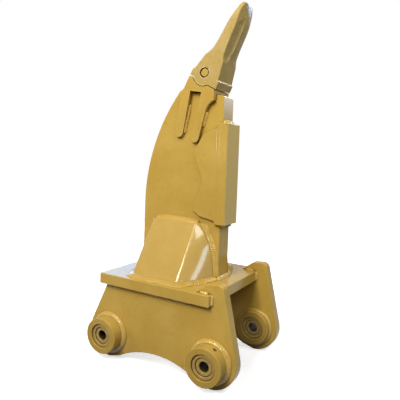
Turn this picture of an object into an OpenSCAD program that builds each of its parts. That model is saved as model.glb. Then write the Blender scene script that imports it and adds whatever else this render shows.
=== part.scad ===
// Single-shank ripper for an excavator of about twenty tonnes.
// It stands on the lobes of its two ears with the tooth up. +X is the way the tooth leans,
// +Y is the left side and the origin lies on the floor midway between the two pin axes.

/* [Deck] */
// Thickness of the deck plate
deck_t = 40; // [30:1:50]
// Height of the deck's top face above the floor
deck_top = 329; // [315:1:345]
// Distance from the middle of the pins to the deck's front edge
deck_front = 214; // [205:1:225]
// Distance from the middle of the pins to the deck's rear edge
deck_rear = 259; // [250:1:280]
// How far the deck stands out past each ear
deck_overhang = 20; // [14:1:30]

/* [Ears] */
// Clear gap between the two ears
ear_gap = 348; // [320:1:380]
// Thickness of each ear
ear_t = 40; // [30:1:50]
// Radius of the lobe about each pin, which is also the height of the pins
lobe_r = 97; // [94:1:104]
// Height of the arch between the lobes
arch_h = 60; // [45:1:70]
// Where the rear edge of an ear meets the deck, behind the middle of the pins
ear_rear = 238; // [225:1:248]
// How far the horn rises above the deck
horn_h = 37; // [32:1:44]
// Where the horn starts to rise, ahead of the middle of the pins
horn_start = 152; // [140:1:165]
// Radius of the horn's front corner
horn_r = 24; // [16:1:28]
// Where the horn's front corner is centred, ahead of the middle of the pins
horn_x = 235; // [228:1:240]

/* [Pins and bosses] */
// Distance between the front and the rear pin axis
pin_span = 440; // [420:1:460]
// Outer radius of each boss
boss_r = 68; // [62:0.5:74]
// How far a boss stands out from the ear
boss_out = 54; // [40:1:70]
// How far a boss stands in from the ear
boss_in = 26; // [16:1:36]
// Radius of the bore that holds the bush
boss_bore_r = 45; // [42:0.5:48]
// How deep the bush sits below the ends of the boss
bush_inset = 6; // [3:0.5:10]
// Radius of the bush's own bore
bush_bore_r = 32; // [28:0.5:36]
// How deep the sleeve sits below the ends of the bush
sleeve_inset = 4; // [2:0.5:8]
// Radius of the sleeve's bore, which takes the pin
sleeve_bore_r = 18; // [15:0.5:22]
// Radius of the keeper-bolt hole in a boss
keeper_r = 7; // [5:0.5:9]
// Angle of the keeper-bolt hole above the level
keeper_angle = 64; // [50:1:75]

/* [Shank] */
// Thickness of the shank
shank_t = 80; // [70:1:90]
// Distance from the middle of the pins to the shank's rear edge
shank_rear = 202; // [195:1:215]
// Distance from the middle of the pins to the shank's front edge at the deck
shank_front = 147; // [143:1:160]
// Backward lean of the shank's front edge
shank_lean = 0.9; // [0:0.1:1.5]
// Height at which the rear edge starts to curve forward
curve_z = 597; // [580:1:620]
// Radius of the curved rear edge
curve_r = 710; // [680:5:740]
// Height of the shank's end at its front edge
shank_end_z = 1009; // [1000:1:1018]
// Slope of the shank's end, up towards the rear
shank_end_slope = 8; // [5:0.5:10]

/* [Gussets] */
// Plate thickness of a gusset
gusset_t = 20; // [12:1:24]
// How far a gusset reaches out from the shank at the deck
gusset_reach = 160; // [140:1:170]
// Height of a gusset above the deck
gusset_h = 208; // [180:1:220]
// Where the gusset's front fold meets the deck, ahead of the middle of the pins
gusset_front = 68; // [60:1:76]
// Where the gusset's rear fold meets the deck, behind the middle of the pins
gusset_rear = 140; // [130:1:150]
// Radius of the bends at the deck
gusset_bend = 26; // [18:1:34]
// How far the gusset's front panel bows out at the deck
gusset_bow = 8; // [0:0.5:12]

/* [Guard] */
// Height of the guard's lower end above the floor
guard_z = 537; // [530:1:545]
// Height of the guard's nose
guard_h = 374; // [350:1:385]
// How far the nose stands ahead of the shank
guard_nose = 25; // [18:1:32]
// Wall of the nose beside the shank
guard_wall = 18; // [15:0.5:22]
// Wall of the cheeks
cheek_wall = 12; // [8:0.5:14]
// How far the cheeks reach back along the shank
cheek_reach = 114; // [100:1:120]
// Depth of the wave in the cheeks' rear edge
cheek_wave = 34; // [20:1:40]

/* [Tooth] */
// Forward lean of the tooth from upright
tooth_lean = 27; // [25:0.5:29]
// How far the tooth's axis stands behind the shank's front edge at the base of the point
tooth_set = 83; // [80:1:86]
// Height of the point's base above the shank's end
tooth_rise = 50; // [48:1:54]
// Length of the tooth point from its base to its tip
tooth_len = 308; // [295:1:320]
// Width of the point at its base
tooth_w = 122; // [118:1:126]
// Width of the blade
blade_w = 112; // [106:1:118]
// How far up the blade keeps its width
blade_wide_to = 235; // [225:1:245]
// Width of the point at its tip
tip_w = 56; // [44:1:64]
// Depth of the point at its base, from rear to front
tooth_d = 124; // [120:1:128]
// Thickness of the point at its tip
tip_t = 10; // [7:0.5:13]
// Depth of the blade at its neck
neck_d = 70; // [66:1:76]
// How far up the neck lies
neck_at = 116; // [110:1:122]
// Depth of the blade at its shoulder
blade_d = 60; // [56:1:64]
// How far up the shoulder lies
blade_at = 204; // [196:1:214]
// How far the blade bows forward
blade_bow = 3; // [0:0.5:5]
// Height of the rim round the base
rim_h = 26; // [20:1:30]
// How far the rim stands out
rim_step = 6; // [3:0.5:8]
// Width of the rib between the flutes
rib_w = 24; // [18:1:32]
// Depth of the flutes beside the rib
flute_d = 11; // [6:0.5:13]
// Steepness of the flutes' walls beside the rib
flute_wall = 10; // [4:0.5:12]
// Radius of the side lugs round the tooth pin
lug_r = 47; // [44:0.5:49]
// How far up the tooth pin lies
pin_at = 32; // [29:1:35]
// How far the tooth pin lies behind the tooth's axis
pin_back = 9; // [5:0.5:12]
// Radius of the tooth pin
tooth_pin_r = 15; // [13:0.5:16.5]
// Radius of the pin hole in the point
tooth_hole_r = 19; // [18:0.5:21]

/* [Adapter] */
// Length of the nose inside the point
nose_len = 122; // [100:1:126]
// Wall of the point round the nose at the base
socket_wall = 16; // [14:0.5:18]
// Width of a leg
leg_w = 34; // [30:1:36]
// Where the rear leg ends, ahead of the middle of the pins
rear_leg_x = -43; // [-47:1:-40]
// How far the rear leg reaches below the shank's end
rear_leg_drop = 160; // [140:1:175]
// Where the front leg ends, ahead of the middle of the pins
front_leg_x = 26; // [22:1:27]
// How far the front leg reaches below the shank's end
front_leg_drop = 170; // [150:1:172]
// Lean of the rear leg
rear_leg_lean = 11; // [9:0.5:12]
// Lean of the front leg
front_leg_lean = 14.5; // [13:0.5:16]
// Wall of a leg at its lower end
leg_wall = 12; // [9:0.5:15]
// How far up the front leg the hollow curve at its root starts
flare_at = 105; // [95:1:112]
// Radius of the hollow curve at the root of the front leg
flare_r = 60; // [52:1:70]

/* [Fits and welds] */
// Clearance of pieces that seat in one another
seat = 0.3; // [0.1:0.05:0.5]
// Open joint between the base of the point and the adapter
joint_gap = 3; // [1:0.5:5]
// Leg of the heavy weld fillets
weld_big = 16; // [10:1:18]
// Leg of the light weld fillets
weld_small = 11; // [6:1:13]
// Leg of the fine weld fillets beside the adapter's legs
weld_fine = 8; // [4:0.5:10]
// Chamfer of turned edges
chamfer = 2; // [1:0.5:3]

/* [Hidden] */
$fn = 96;
paint = "#c99a3c";
bead_paint = "#d3a84e";
bush_steel = "#7d7660";
pin_z = lobe_r;
pin_x = pin_span / 2;
ear_in = ear_gap / 2;
ear_out = ear_in + ear_t;
deck_half = ear_out + deck_overhang;
deck_under = deck_top - deck_t;
shank_half = shank_t / 2;

// Steps of a lobe's outline, of the arch and of the horn's corner
lobe_steps = 20;
arch_steps = 24;
horn_steps = 10;
// Slope of the horn's rear: its length over its height, and its fall short of the top
horn_run = 1.2;
horn_fall = 0.1;

// Radius of the arch that flows into both lobes
arch_sag = lobe_r - arch_h;
arch_r = (pin_x * pin_x + arch_sag * arch_sag - lobe_r * lobe_r) / (2 * (lobe_r - arch_sag));
horn_z = deck_top + horn_h - horn_r;

// Lines of the shank's front edge and of its end
function shank_front_at(z) = shank_front - (z - deck_top) * tan(shank_lean);
function shank_end_at(x) = shank_end_z + (shank_end_x - x) * tan(shank_end_slope);
shank_end_x = shank_front_at(shank_end_z);

// The tooth's own frame has its origin on the axis at the base of the point
tooth_foot = shank_end_x - tooth_set;
tooth_base_z = shank_end_z + tooth_rise;
blade_taper = 1.7;
spade_taper = 3;
nose_tip_w = 60;
nose_tip_d = 38;
nose_half = tooth_w / 2 - socket_wall;
nose_deep = tooth_d / 2 - socket_wall;
nose_clear = 0.8;
nose_root = 12;
retainer_t = 7;
pin_short = 3;

// How far the drawn tools run past the faces they cut
over = 1;

function mix(a, b, t) = a + (b - a) * t;
function reversed(list) = [for (i = [len(list) - 1:-1:0]) list[i]];
function unit(v) = v / norm(v);

// Points of an arc about c from angle a0 to angle a1, both ends included
function arc(c, r, a0, a1, steps) =
    [for (i = [0:steps])
        let (a = mix(a0, a1, i / steps))
        c + r * [cos(a), sin(a)]];

// Outward normal of the line that touches two circles on the right of the way from c1 to c2
function touch_normal(c1, r1, c2, r2) =
    let (d = c2 - c1, a = atan2(d[1], d[0]) - acos((r1 - r2) / norm(d)))
    [cos(a), sin(a)];

// Points of a bend of radius r at corner b between a and c
function bend(a, b, c, r, steps) =
    let (
        u = unit(a - b),
        w = unit(c - b),
        half = acos(u * w) / 2,
        reach = r / tan(half),
        middle = b + unit(u + w) * r / sin(half),
        from = b + u * reach - middle,
        to = b + w * reach - middle,
        turn = 180 - 2 * half)
    [for (i = [0:steps])
        middle + (from * sin(turn * (1 - i / steps)) + to * sin(turn * i / steps)) / sin(turn)];

// Solid skin over a stack of rings with the same number of points
module skin(rings) {
    n = len(rings[0]);
    last = (len(rings) - 1) * n;
    sides = [for (i = [0:len(rings) - 2]) for (j = [0:n - 1])
        let (a = i * n + j, b = i * n + (j + 1) % n)
        each [[a, a + n, b + n], [a, b + n, b]]];
    ends = [[for (j = [0:n - 1]) j], [for (j = [n - 1:-1:0]) last + j]];
    polyhedron([for (ring = rings) for (p = ring) p], concat(sides, ends));
}

// Upright plate: an outline in X and Z, from y0 to y1
module plate(y0, y1) {
    translate([0, y1, 0])
        rotate([90, 0, 0])
        linear_extrude(y1 - y0)
        children();
}

// The same on both sides of the middle plane
module both_sides() {
    children();
    mirror([0, 1, 0])
        children();
}

// Turns the Z axis to +Y at a pin axis, and to the right-hand side if asked
module at_pin(x, left) {
    mirror([0, left ? 0 : 1, 0])
        translate([x, 0, pin_z])
        rotate([-90, 0, 0])
        children();
}

// Frame of the tooth: Z along its axis from the base, X to its front
module at_tooth() {
    translate([tooth_foot, 0, tooth_base_z])
        rotate([0, tooth_lean, 0])
        children();
}

// Ring turned on its axis with a chamfer on every edge
module turned_ring(r_in, r_out, z0, z1) {
    rotate_extrude()
        polygon([
            [r_in + chamfer, z0], [r_out - chamfer, z0], [r_out, z0 + chamfer],
            [r_out, z1 - chamfer], [r_out - chamfer, z1], [r_in + chamfer, z1],
            [r_in, z1 - chamfer], [r_in, z0 + chamfer]]);
}

// Straight weld fillet along Z in the corner between the X and the Y plane
module fillet_strip(length, leg) {
    linear_extrude(length)
        polygon([[0, 0], [leg, 0], [0, leg]]);
}

// Headstock

module deck_plate() {
    slot_x = horn_start - seat;
    slot_y = ear_in - seat;
    color(paint)
        translate([0, 0, deck_under])
        linear_extrude(deck_t)
        difference() {
            translate([-deck_rear, -deck_half])
                square([deck_rear + deck_front, 2 * deck_half]);
            for (side = [0, 1])
                mirror([0, side])
                translate([slot_x, slot_y])
                square([deck_front - slot_x + over, ear_t + 2 * seat]);
        }
}

module ear_outline() {
    front = [pin_x, pin_z];
    rear = [-pin_x, pin_z];
    horn = [horn_x, horn_z];
    heel = [-ear_rear, deck_under];
    arch = [0, arch_h - arch_r];
    front_n = touch_normal(front, lobe_r, horn, horn_r);
    rear_n = touch_normal(heel, 0, rear, lobe_r);
    front_a = atan2(front_n[1], front_n[0]);
    rear_a = atan2(rear_n[1], rear_n[0]) - 360;
    arch_a = atan2(pin_z - arch[1], pin_x);
    difference() {
        polygon(concat(
            [heel, [horn_start, deck_under], [horn_start, deck_top]],
            [[horn_start + horn_run * horn_h, deck_top + (1 - horn_fall) * horn_h]],
            arc(horn, horn_r, 90, front_a, horn_steps),
            arc(front, lobe_r, front_a, -90, lobe_steps),
            arc(arch, arch_r, arch_a, 180 - arch_a, arch_steps),
            arc(rear, lobe_r, -90, rear_a, lobe_steps)));
        for (x = [-pin_x, pin_x])
            translate([x, pin_z])
            circle(r = boss_r + seat);
    }
}

module left_ear() {
    color(paint)
        plate(ear_in, ear_out)
        ear_outline();
}

module right_ear() {
    mirror([0, 1, 0])
        left_ear();
}

module boss(x, left) {
    lean = x > 0 ? keeper_angle : 180 - keeper_angle;
    color(paint)
        at_pin(x, left)
        difference() {
            turned_ring(boss_bore_r, boss_r, ear_in - boss_in, ear_out + boss_out);
            translate([0, 0, ear_out + boss_out / 2])
                rotate([0, 90, -lean])
                translate([0, 0, boss_bore_r - over])
                cylinder(r = keeper_r, h = boss_r);
        }
}

module bush(x, left) {
    color(bush_steel)
        at_pin(x, left)
        turned_ring(
            bush_bore_r, boss_bore_r - seat,
            ear_in - boss_in + bush_inset, ear_out + boss_out - bush_inset);
}

module sleeve(x, left) {
    inset = bush_inset + sleeve_inset;
    color(bush_steel)
        at_pin(x, left)
        turned_ring(
            sleeve_bore_r, bush_bore_r - seat,
            ear_in - boss_in + inset, ear_out + boss_out - inset);
}

// Shank and gussets

module shank_outline() {
    crown = shank_end_at(-shank_rear);
    intersection() {
        polygon([
            [-shank_rear, deck_top], [shank_front, deck_top],
            [shank_end_x, shank_end_z], [-shank_rear, crown]]);
        union() {
            translate([curve_r - shank_rear, curve_z])
                circle(r = curve_r);
            translate([-shank_rear, deck_top])
                square([shank_rear + shank_front, curve_z - deck_top]);
        }
    }
}

module shank() {
    color(paint)
        plate(-shank_half, shank_half)
        shank_outline();
}

// A gusset's plate measured on the level, and how far its top stands out from the shank
gusset_slant = sqrt(pow(gusset_reach - gusset_t, 2) + pow(gusset_h, 2)) / gusset_h;
gusset_plate = gusset_t * gusset_slant;
gusset_top_step = 2;
gusset_top_reach = gusset_plate + gusset_top_step;

// Feet of the end panels on the shank, measured from the folds or from the shank's front edge
rear_foot_low = 44;
front_foot_gap = 13;
front_foot_high = 14;
front_foot_curve = 2.5;

// How far the folds draw in towards the top, and their bend there
rear_fold_in = 4;
front_fold_in = 12;
gusset_top_bend = 8;
// Shares of the plate by which the folds and the bends draw in on the inside
fold_share = 0.5;
bend_share = 0.2;
gusset_steps = 5;
panel_steps = 4;
gusset_levels = 9;
gusset_past = 0.05;

// Points from a to b, without the two ends, that bow out to the left of the way by rise
function bowed(a, b, rise, steps) =
    let (way = unit(b - a))
    [for (i = [1:steps - 1])
        let (t = i / steps)
        mix(a, b, t) + 4 * rise * t * (1 - t) * [-way[1], way[0]]];

// Outline of a gusset at a level from 0 at the deck to 1 at its top, drawn inward by inset
function gusset_line(level, inset) =
    let (
        reach = mix(gusset_reach, gusset_top_reach, level),
        out = shank_half + seat + reach - inset,
        face = shank_half + seat - inset,
        rear_at = -gusset_rear + rear_fold_in * level,
        foot_rear = rear_at - rear_foot_low * reach / gusset_reach + inset,
        fold_rear = rear_at + inset * fold_share,
        fold_front = gusset_front - front_fold_in * level - inset * fold_share,
        foot_low = shank_front - front_foot_gap,
        foot_high = gusset_front - front_fold_in + front_foot_high,
        foot_front = mix(foot_low, foot_high, pow(max(level, 0), front_foot_curve)) - inset,
        r = mix(gusset_bend, gusset_top_bend, level) - inset * bend_share,
        a = [foot_rear, face],
        b = [fold_rear, out],
        c = [fold_front, out],
        d = [foot_front, face],
        front_bend = bend(b, c, d, r, gusset_steps),
        panel = bowed(front_bend[gusset_steps], d, gusset_bow * (1 - level), panel_steps))
    concat([a], bend(a, b, c, r, gusset_steps), front_bend, panel, [d]);

function raised(line, z) = [for (p = line) [p[0], p[1], z]];

// Stack of outlines from one level to another
function gusset_rings(low, high, inset) =
    [for (i = [0:gusset_levels])
        let (level = mix(low, high, i / gusset_levels))
        raised(reversed(gusset_line(level, inset)), deck_top + gusset_h * level)];

module left_gusset() {
    color(paint)
        difference() {
            skin(gusset_rings(0, 1, 0));
            skin(gusset_rings(-gusset_past, 1 + gusset_past, gusset_plate));
        }
}

module right_gusset() {
    mirror([0, 1, 0])
        left_gusset();
}

// Guard

// Frame of the guard: Z up along the shank's front edge from the guard's lower end
module at_guard() {
    translate([shank_front_at(guard_z), 0, guard_z])
        rotate([0, -shank_lean, 0])
        children();
}

// Wave of the cheeks' rear edge: where it starts, its pitch and its steps
cheek_low = 48;
cheek_pitch = 224;
cheek_steps = 28;
// Lower edge of the cheeks at the nose and near its rear end
cheek_toe = 8;
cheek_heel = 26;
cheek_heel_share = 0.75;
// Upper rear corner of the cheeks, and the drop of their upper edge at the nose
cheek_top = 332;
cheek_top_reach = 77;
cheek_top_drop = 10;
// Where the nose starts to step down to the cheeks, and where it ends
step_from = 4;
step_to = 20;
// Bevel of the nose's front edges
nose_bevel = 6;

// Distance of the cheeks' rear edge behind the shank's front edge
function cheek_edge(z) =
    cheek_reach - cheek_wave * (1 - cos(360 * (z - cheek_low) / cheek_pitch)) / 2;

module cheek_outline() {
    polygon(concat(
        [[0, cheek_toe], [-cheek_reach * cheek_heel_share, cheek_heel]],
        [for (i = [0:cheek_steps])
            let (z = mix(cheek_low, cheek_low + cheek_pitch, i / cheek_steps)) [-cheek_edge(z), z]],
        [[-cheek_top_reach, cheek_top], [0, guard_h - cheek_top_drop]]));
}

module shank_guard() {
    slot = shank_half + seat;
    nose_half_w = shank_half + guard_wall;
    cheek_half_w = shank_half + cheek_wall;
    color(paint)
        at_guard()
        difference() {
            union() {
                linear_extrude(guard_h)
                    polygon([
                        [guard_nose - nose_bevel, -nose_half_w], [guard_nose, nose_bevel - nose_half_w],
                        [guard_nose, nose_half_w - nose_bevel], [guard_nose - nose_bevel, nose_half_w],
                        [-step_from, nose_half_w], [-step_to, cheek_half_w],
                        [-step_to, -cheek_half_w], [-step_from, -nose_half_w]]);
                plate(-cheek_half_w, cheek_half_w)
                    cheek_outline();
            }
            translate([seat - shank_rear - shank_front, -slot, -guard_h])
                cube([shank_rear + shank_front, 2 * slot, 3 * guard_h]);
        }
}

// Tooth

function tooth_half_w(s) =
    s <= neck_at ? mix(tooth_w, blade_w, max(s, 0) / neck_at) / 2 :
    s <= blade_wide_to ? blade_w / 2 :
    mix(blade_w, tip_w, pow((s - blade_wide_to) / (tooth_len - blade_wide_to), spade_taper)) / 2;

// Height over which the rim falls back to the body of the point
rim_fall = rim_step / 2;

function tooth_half_d(s) =
    s <= rim_h ? tooth_d / 2 :
    s <= neck_at ? lookup(s, [
        [rim_h, tooth_d / 2], [rim_h + rim_fall, tooth_d / 2 - rim_step], [neck_at, neck_d / 2]]) :
    s <= blade_at ? mix(neck_d, blade_d, (s - neck_at) / (blade_at - neck_at)) / 2 :
    mix(blade_d, tip_t, pow((s - blade_at) / (tooth_len - blade_at), blade_taper)) / 2;

// Share of the flutes' full depth: none at the base and the tip, full along the blade
flute_below_neck = 24;
flute_below_tip = 4;
flute_from = neck_at - flute_below_neck;
flute_to = tooth_len - flute_below_tip;
flute_flat = 4;
function flute_share(s) =
    s <= flute_from || s >= flute_to ? 0 :
    1 - pow(abs(2 * (s - flute_from) / (flute_to - flute_from) - 1), flute_flat);

// Distances from the tip between which the flutes' floors give way to two facets that form a roof
land_below = 74;
land_above = 36;
// Share of a flute's depth at the foot of its wall; the floor slopes from there to the side
flute_foot = 0.55;
// Share of the depth at s, a share t of the way from the rib to the side
function flute_form(s, t) =
    let (left = max(0, min(1, (tooth_len - land_above - s) / (land_below - land_above))))
    max(t, left * (1 - pow(1 - t, flute_wall)) * mix(flute_foot, 1, t));

// Rounding of the section's corners, and the land beside a flute where it starts
corner = 2.5;
corner_curve = 4;
flute_land = 10;
// Steps across a flute, and how closely they crowd towards the rib
flute_steps = 5;
flute_crowd = 1.4;

// One quarter of the section at s, from the rib's edge to the side, as [deep, across]
function tooth_quarter(s) =
    let (
        share = flute_share(s),
        w = tooth_half_w(s) - corner,
        d = tooth_half_d(s),
        cut = min(flute_d * share, d - 2 * corner),
        ease = corner * (1 - share) / 2,
        rib = mix(w - flute_land, rib_w / 2, sqrt(share)))
    concat(
        [for (i = [0:flute_steps])
            let (t = pow(i / flute_steps, flute_crowd))
            [d - cut * flute_form(s, t) - ease * pow(t, corner_curve), mix(rib, w, t)]],
        [[d - cut - corner, w + corner]]);

function tooth_ring(s) =
    let (
        quarter = tooth_quarter(s),
        bow = blade_bow * flute_share(s))
    [for (p = concat(
            quarter,
            [for (q = reversed(quarter)) [-q[0], q[1]]],
            [for (q = quarter) [-q[0], -q[1]]],
            [for (q = reversed(quarter)) [q[0], -q[1]]]))
        [p[0] + bow, p[1], s]];

neck_steps = 6;
tip_steps = 7;
// How far below the base the skin is drawn, to leave room for the lugs
skin_below = lug_r / 2;
tooth_stations = concat(
    [-skin_below, 0, rim_h, rim_h + rim_fall, mix(rim_h, neck_at, 0.5)],
    [for (i = [0:neck_steps]) mix(flute_from, blade_at, i / neck_steps)],
    [for (i = [1:tip_steps]) mix(blade_at, tooth_len, i / tip_steps)]);

// Tapered nose of the adapter, grown by a clearance for the socket
function nose_ring(half_d, half_w, s) = [
    [half_d, half_w, s], [-half_d, half_w, s], [-half_d, -half_w, s], [half_d, -half_w, s]];

module nose(clear, root) {
    skin([
        nose_ring(nose_deep + clear, nose_half + clear, root),
        nose_ring(nose_deep + clear, nose_half + clear, 0),
        nose_ring(nose_tip_d / 2 + clear, nose_tip_w / 2 + clear, nose_len + clear)]);
}

// Round space along the tooth pin's axis, right across the tooth
module across_tooth(r) {
    translate([-pin_back, 0, pin_at])
        rotate([90, 0, 0])
        cylinder(r = r, h = 2 * tooth_w, center = true);
}

module tooth_point() {
    color(paint)
        at_tooth()
        difference() {
            skin([for (s = tooth_stations) tooth_ring(s)]);
            difference() {
                translate([-tooth_d, -tooth_w, -lug_r])
                    cube([2 * tooth_d, 2 * tooth_w, lug_r]);
                across_tooth(lug_r);
            }
            nose(nose_clear, -lug_r);
            across_tooth(tooth_hole_r);
        }
}

module tooth_pin() {
    length = 2 * tooth_half_w(pin_at) - pin_short;
    color(paint)
        at_tooth()
        translate([-pin_back, length / 2, pin_at])
        rotate([90, 0, 0])
        rotate_extrude()
        polygon([
            [0, 0], [tooth_pin_r - chamfer, 0], [tooth_pin_r, chamfer],
            [tooth_pin_r, length - chamfer], [tooth_pin_r - chamfer, length], [0, length]]);
}

module pin_retainer() {
    color(bush_steel)
        at_tooth()
        both_sides()
        translate([-pin_back, nose_half + nose_clear + retainer_t, pin_at])
        rotate([90, 0, 0])
        difference() {
            cylinder(r = tooth_hole_r - seat, h = retainer_t);
            translate([0, 0, -over])
                cylinder(r = tooth_pin_r + seat, h = retainer_t + 2 * over);
        }
}

// Adapter

// Points round the lower end of a leg, from its rear edge to its front edge
leg_steps = 12;
function leg_round(end, lean) = arc(end, leg_w / 2, 180 - lean, 360 - lean, leg_steps);

// Point of a leg, along it from its lower end and out from its middle
function on_leg(end, lean, along, out) =
    end + along * [sin(lean), cos(lean)] + out * [cos(lean), -sin(lean)];

rear_leg_end = [rear_leg_x, shank_end_at(rear_leg_x) - rear_leg_drop];
front_leg_end = [front_leg_x, shank_end_at(front_leg_x) - front_leg_drop];
leg_root = 30;
rear_leg_len = rear_leg_drop / cos(rear_leg_lean) + leg_root;
front_leg_len = front_leg_drop / cos(front_leg_lean) + leg_root;
body_rear_in = 2;
body_front_in = 4;
body_rear = tooth_d / 2 - body_rear_in;
body_front = tooth_d / 2 - body_front_in;
body_heel_drop = 58;

// Point of the tooth's middle plane, in X and Z of the whole ripper
function from_tooth(q, s) = [
    tooth_foot + q * cos(tooth_lean) + s * sin(tooth_lean),
    tooth_base_z - q * sin(tooth_lean) + s * cos(tooth_lean)];

// Body between the shank's end and the base of the point
body_back = from_tooth(-body_rear, -joint_gap);
body_lip = from_tooth(body_front, -joint_gap);
body_heel = from_tooth(-body_rear, -body_heel_drop);

module adapter_body() {
    polygon([
        body_back, body_heel,
        [body_heel[0], shank_end_at(body_heel[0]) + seat],
        [body_lip[0], shank_end_at(body_lip[0]) + seat], body_lip]);
}

// Rear leg in X and Z
module rear_leg() {
    polygon(concat(
        leg_round(rear_leg_end, rear_leg_lean),
        [on_leg(rear_leg_end, rear_leg_lean, rear_leg_len, leg_w / 2),
            on_leg(rear_leg_end, rear_leg_lean, rear_leg_len, -leg_w / 2)]));
}

// Front leg in X and Z, with the hollow curve that spreads it out to the front of the body
flare_steps = 12;

module front_leg() {
    middle = on_leg(front_leg_end, front_leg_lean, flare_at, leg_w / 2 + flare_r);
    turn = acos((body_lip[0] - middle[0]) / flare_r);
    top = on_leg(front_leg_end, front_leg_lean, front_leg_len, -leg_w / 2);
    polygon(concat(
        leg_round(front_leg_end, front_leg_lean),
        arc(middle, flare_r, 180 - front_leg_lean, turn, flare_steps),
        [[body_lip[0], top[1]], top]));
}

// Legs of one side, as seen from that side
module leg_pair() {
    intersection() {
        union() {
            rear_leg();
            front_leg();
        }
        polygon([
            [-shank_rear, 0], [shank_front, 0],
            [body_lip[0] + over, shank_end_at(body_lip[0])],
            body_lip, body_back, body_heel, [-shank_rear, shank_end_at(-shank_rear)]]);
    }
}

// Wall of the legs, thick at the body and thin at the ends, as [out from the middle, height]
leg_low = front_leg_end[1] - leg_w;
leg_high = shank_end_z;

module leg_wall_profile() {
    polygon([
        [shank_half + seat, leg_low], [shank_half + leg_wall, leg_low],
        [tooth_w / 2, leg_high], [tooth_w / 2, tooth_base_z + tooth_d],
        [shank_half + seat, tooth_base_z + tooth_d]]);
}

module adapter() {
    color(paint)
        difference() {
            union() {
                plate(-tooth_w / 2, tooth_w / 2)
                    adapter_body();
                both_sides()
                    intersection() {
                        plate(0, tooth_w)
                            leg_pair();
                        translate([-shank_rear, 0, 0])
                            rotate([90, 0, 90])
                            linear_extrude(2 * shank_rear)
                            leg_wall_profile();
                    }
                at_tooth()
                    nose(0, -nose_root);
            }
            at_tooth()
                both_sides()
                translate([-pin_back, tooth_w, pin_at])
                rotate([90, 0, 0])
                cylinder(r = lug_r + joint_gap, h = tooth_w - nose_half);
            at_tooth()
                across_tooth(tooth_pin_r + seat);
        }
}

// Welds

module ear_welds() {
    length = ear_rear + horn_start - weld_small;
    color(bead_paint)
        both_sides() {
            translate([-ear_rear, ear_out, deck_under])
                rotate([0, 90, 0])
                fillet_strip(length, weld_small);
            translate([-ear_rear, ear_in, deck_under])
                rotate([90, 0, 90])
                mirror([1, 1, 0])
                fillet_strip(length, weld_small);
        }
}

// The horn's fillets start where the horn has risen past them
horn_weld_room = 1.5;
horn_weld_from = horn_start + horn_weld_room * weld_small;

module horn_welds() {
    run = deck_front - horn_weld_from - weld_small;
    color(bead_paint)
        both_sides() {
            translate([horn_weld_from, ear_out + seat, deck_top])
                rotate([90, 0, 90])
                fillet_strip(run, weld_small);
            translate([horn_weld_from, ear_in - seat, deck_top])
                rotate([90, 0, 90])
                mirror([1, 0, 0])
                fillet_strip(run, weld_small);
            translate([deck_front, ear_out, deck_under])
                fillet_strip(deck_t, weld_small);
            translate([deck_front, ear_in, deck_under])
                mirror([0, 1, 0])
                fillet_strip(deck_t, weld_small);
        }
}

module shank_welds() {
    color(bead_paint) {
        translate([shank_front, shank_half, deck_top])
            rotate([90, 0, 0])
            fillet_strip(shank_t, weld_big);
        translate([-shank_rear, shank_half, deck_top])
            rotate([90, 0, 0])
            mirror([1, 0, 0])
            fillet_strip(shank_t, weld_big);
    }
}

// Room between the curved end panels and the bead beside them
bead_gap = 1.5;

// Bead that runs up the shank beside an end panel, which reaches from foot towards inner
function foot_bead(foot, inner, way) =
    let (on_panel = foot + unit(inner - foot) * weld_big)
    [[foot[0] + way * bead_gap, shank_half], [foot[0] + way * weld_big, shank_half],
        [on_panel[0] + way * bead_gap, on_panel[1]]];

// Fillet in the corner between a gusset and the deck, and along its edges on the shank
gusset_weld_level = weld_big / gusset_h;

module gusset_welds() {
    corner_line = gusset_line(0, 0);
    upper_line = gusset_line(gusset_weld_level, 0);
    n = len(corner_line);
    toe = [for (i = [0:n - 1])
        let (
            before = corner_line[max(i - 1, 0)],
            after = corner_line[min(i + 1, n - 1)],
            way = unit(after - before))
        corner_line[i] + weld_big * [-way[1], way[0]]];
    levels = [for (i = [0:gusset_levels]) mix(gusset_weld_level, 1, i / gusset_levels)];
    color(bead_paint)
        both_sides() {
            skin([for (i = [0:n - 1])
                [[corner_line[i][0], corner_line[i][1], deck_top],
                    [toe[i][0], toe[i][1], deck_top],
                    [upper_line[i][0], upper_line[i][1], deck_top + weld_big]]]);
            skin([for (level = levels)
                let (line = gusset_line(level, 0))
                raised(foot_bead(line[n - 1], line[n - 2], 1), deck_top + gusset_h * level)]);
            skin([for (level = levels)
                let (line = gusset_line(level, 0))
                raised(reversed(foot_bead(line[0], line[1], -1)), deck_top + gusset_h * level)]);
            translate([-gusset_rear, shank_half, deck_top + gusset_h])
                rotate([90, 0, 90])
                fillet_strip(gusset_rear + gusset_front - front_fold_in, weld_big);
        }
}

module boss_welds() {
    root = boss_r + seat;
    color(bead_paint)
        for (x = [-pin_x, pin_x], left = [true, false])
            at_pin(x, left) {
                rotate_extrude()
                    polygon([[root, ear_out], [boss_r + weld_big, ear_out], [root, ear_out + weld_big]]);
                rotate_extrude()
                    polygon([[root, ear_in], [boss_r + weld_small, ear_in], [root, ear_in - weld_small]]);
            }
}

// Fillet beside one straight edge of a leg, between two distances from its lower end
module leg_weld(end, lean, from, to, side) {
    translate([end[0], shank_half, end[1]])
        rotate([0, lean, 0])
        translate([side * leg_w / 2, 0, from])
        mirror([side < 0 ? 1 : 0, 0, 0])
        fillet_strip(to - from, weld_fine);
}

// Share of the legs' drop that is welded along the edges, and the start beside the guard
leg_weld_share = 0.7;
leg_weld_from = 48;

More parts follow.
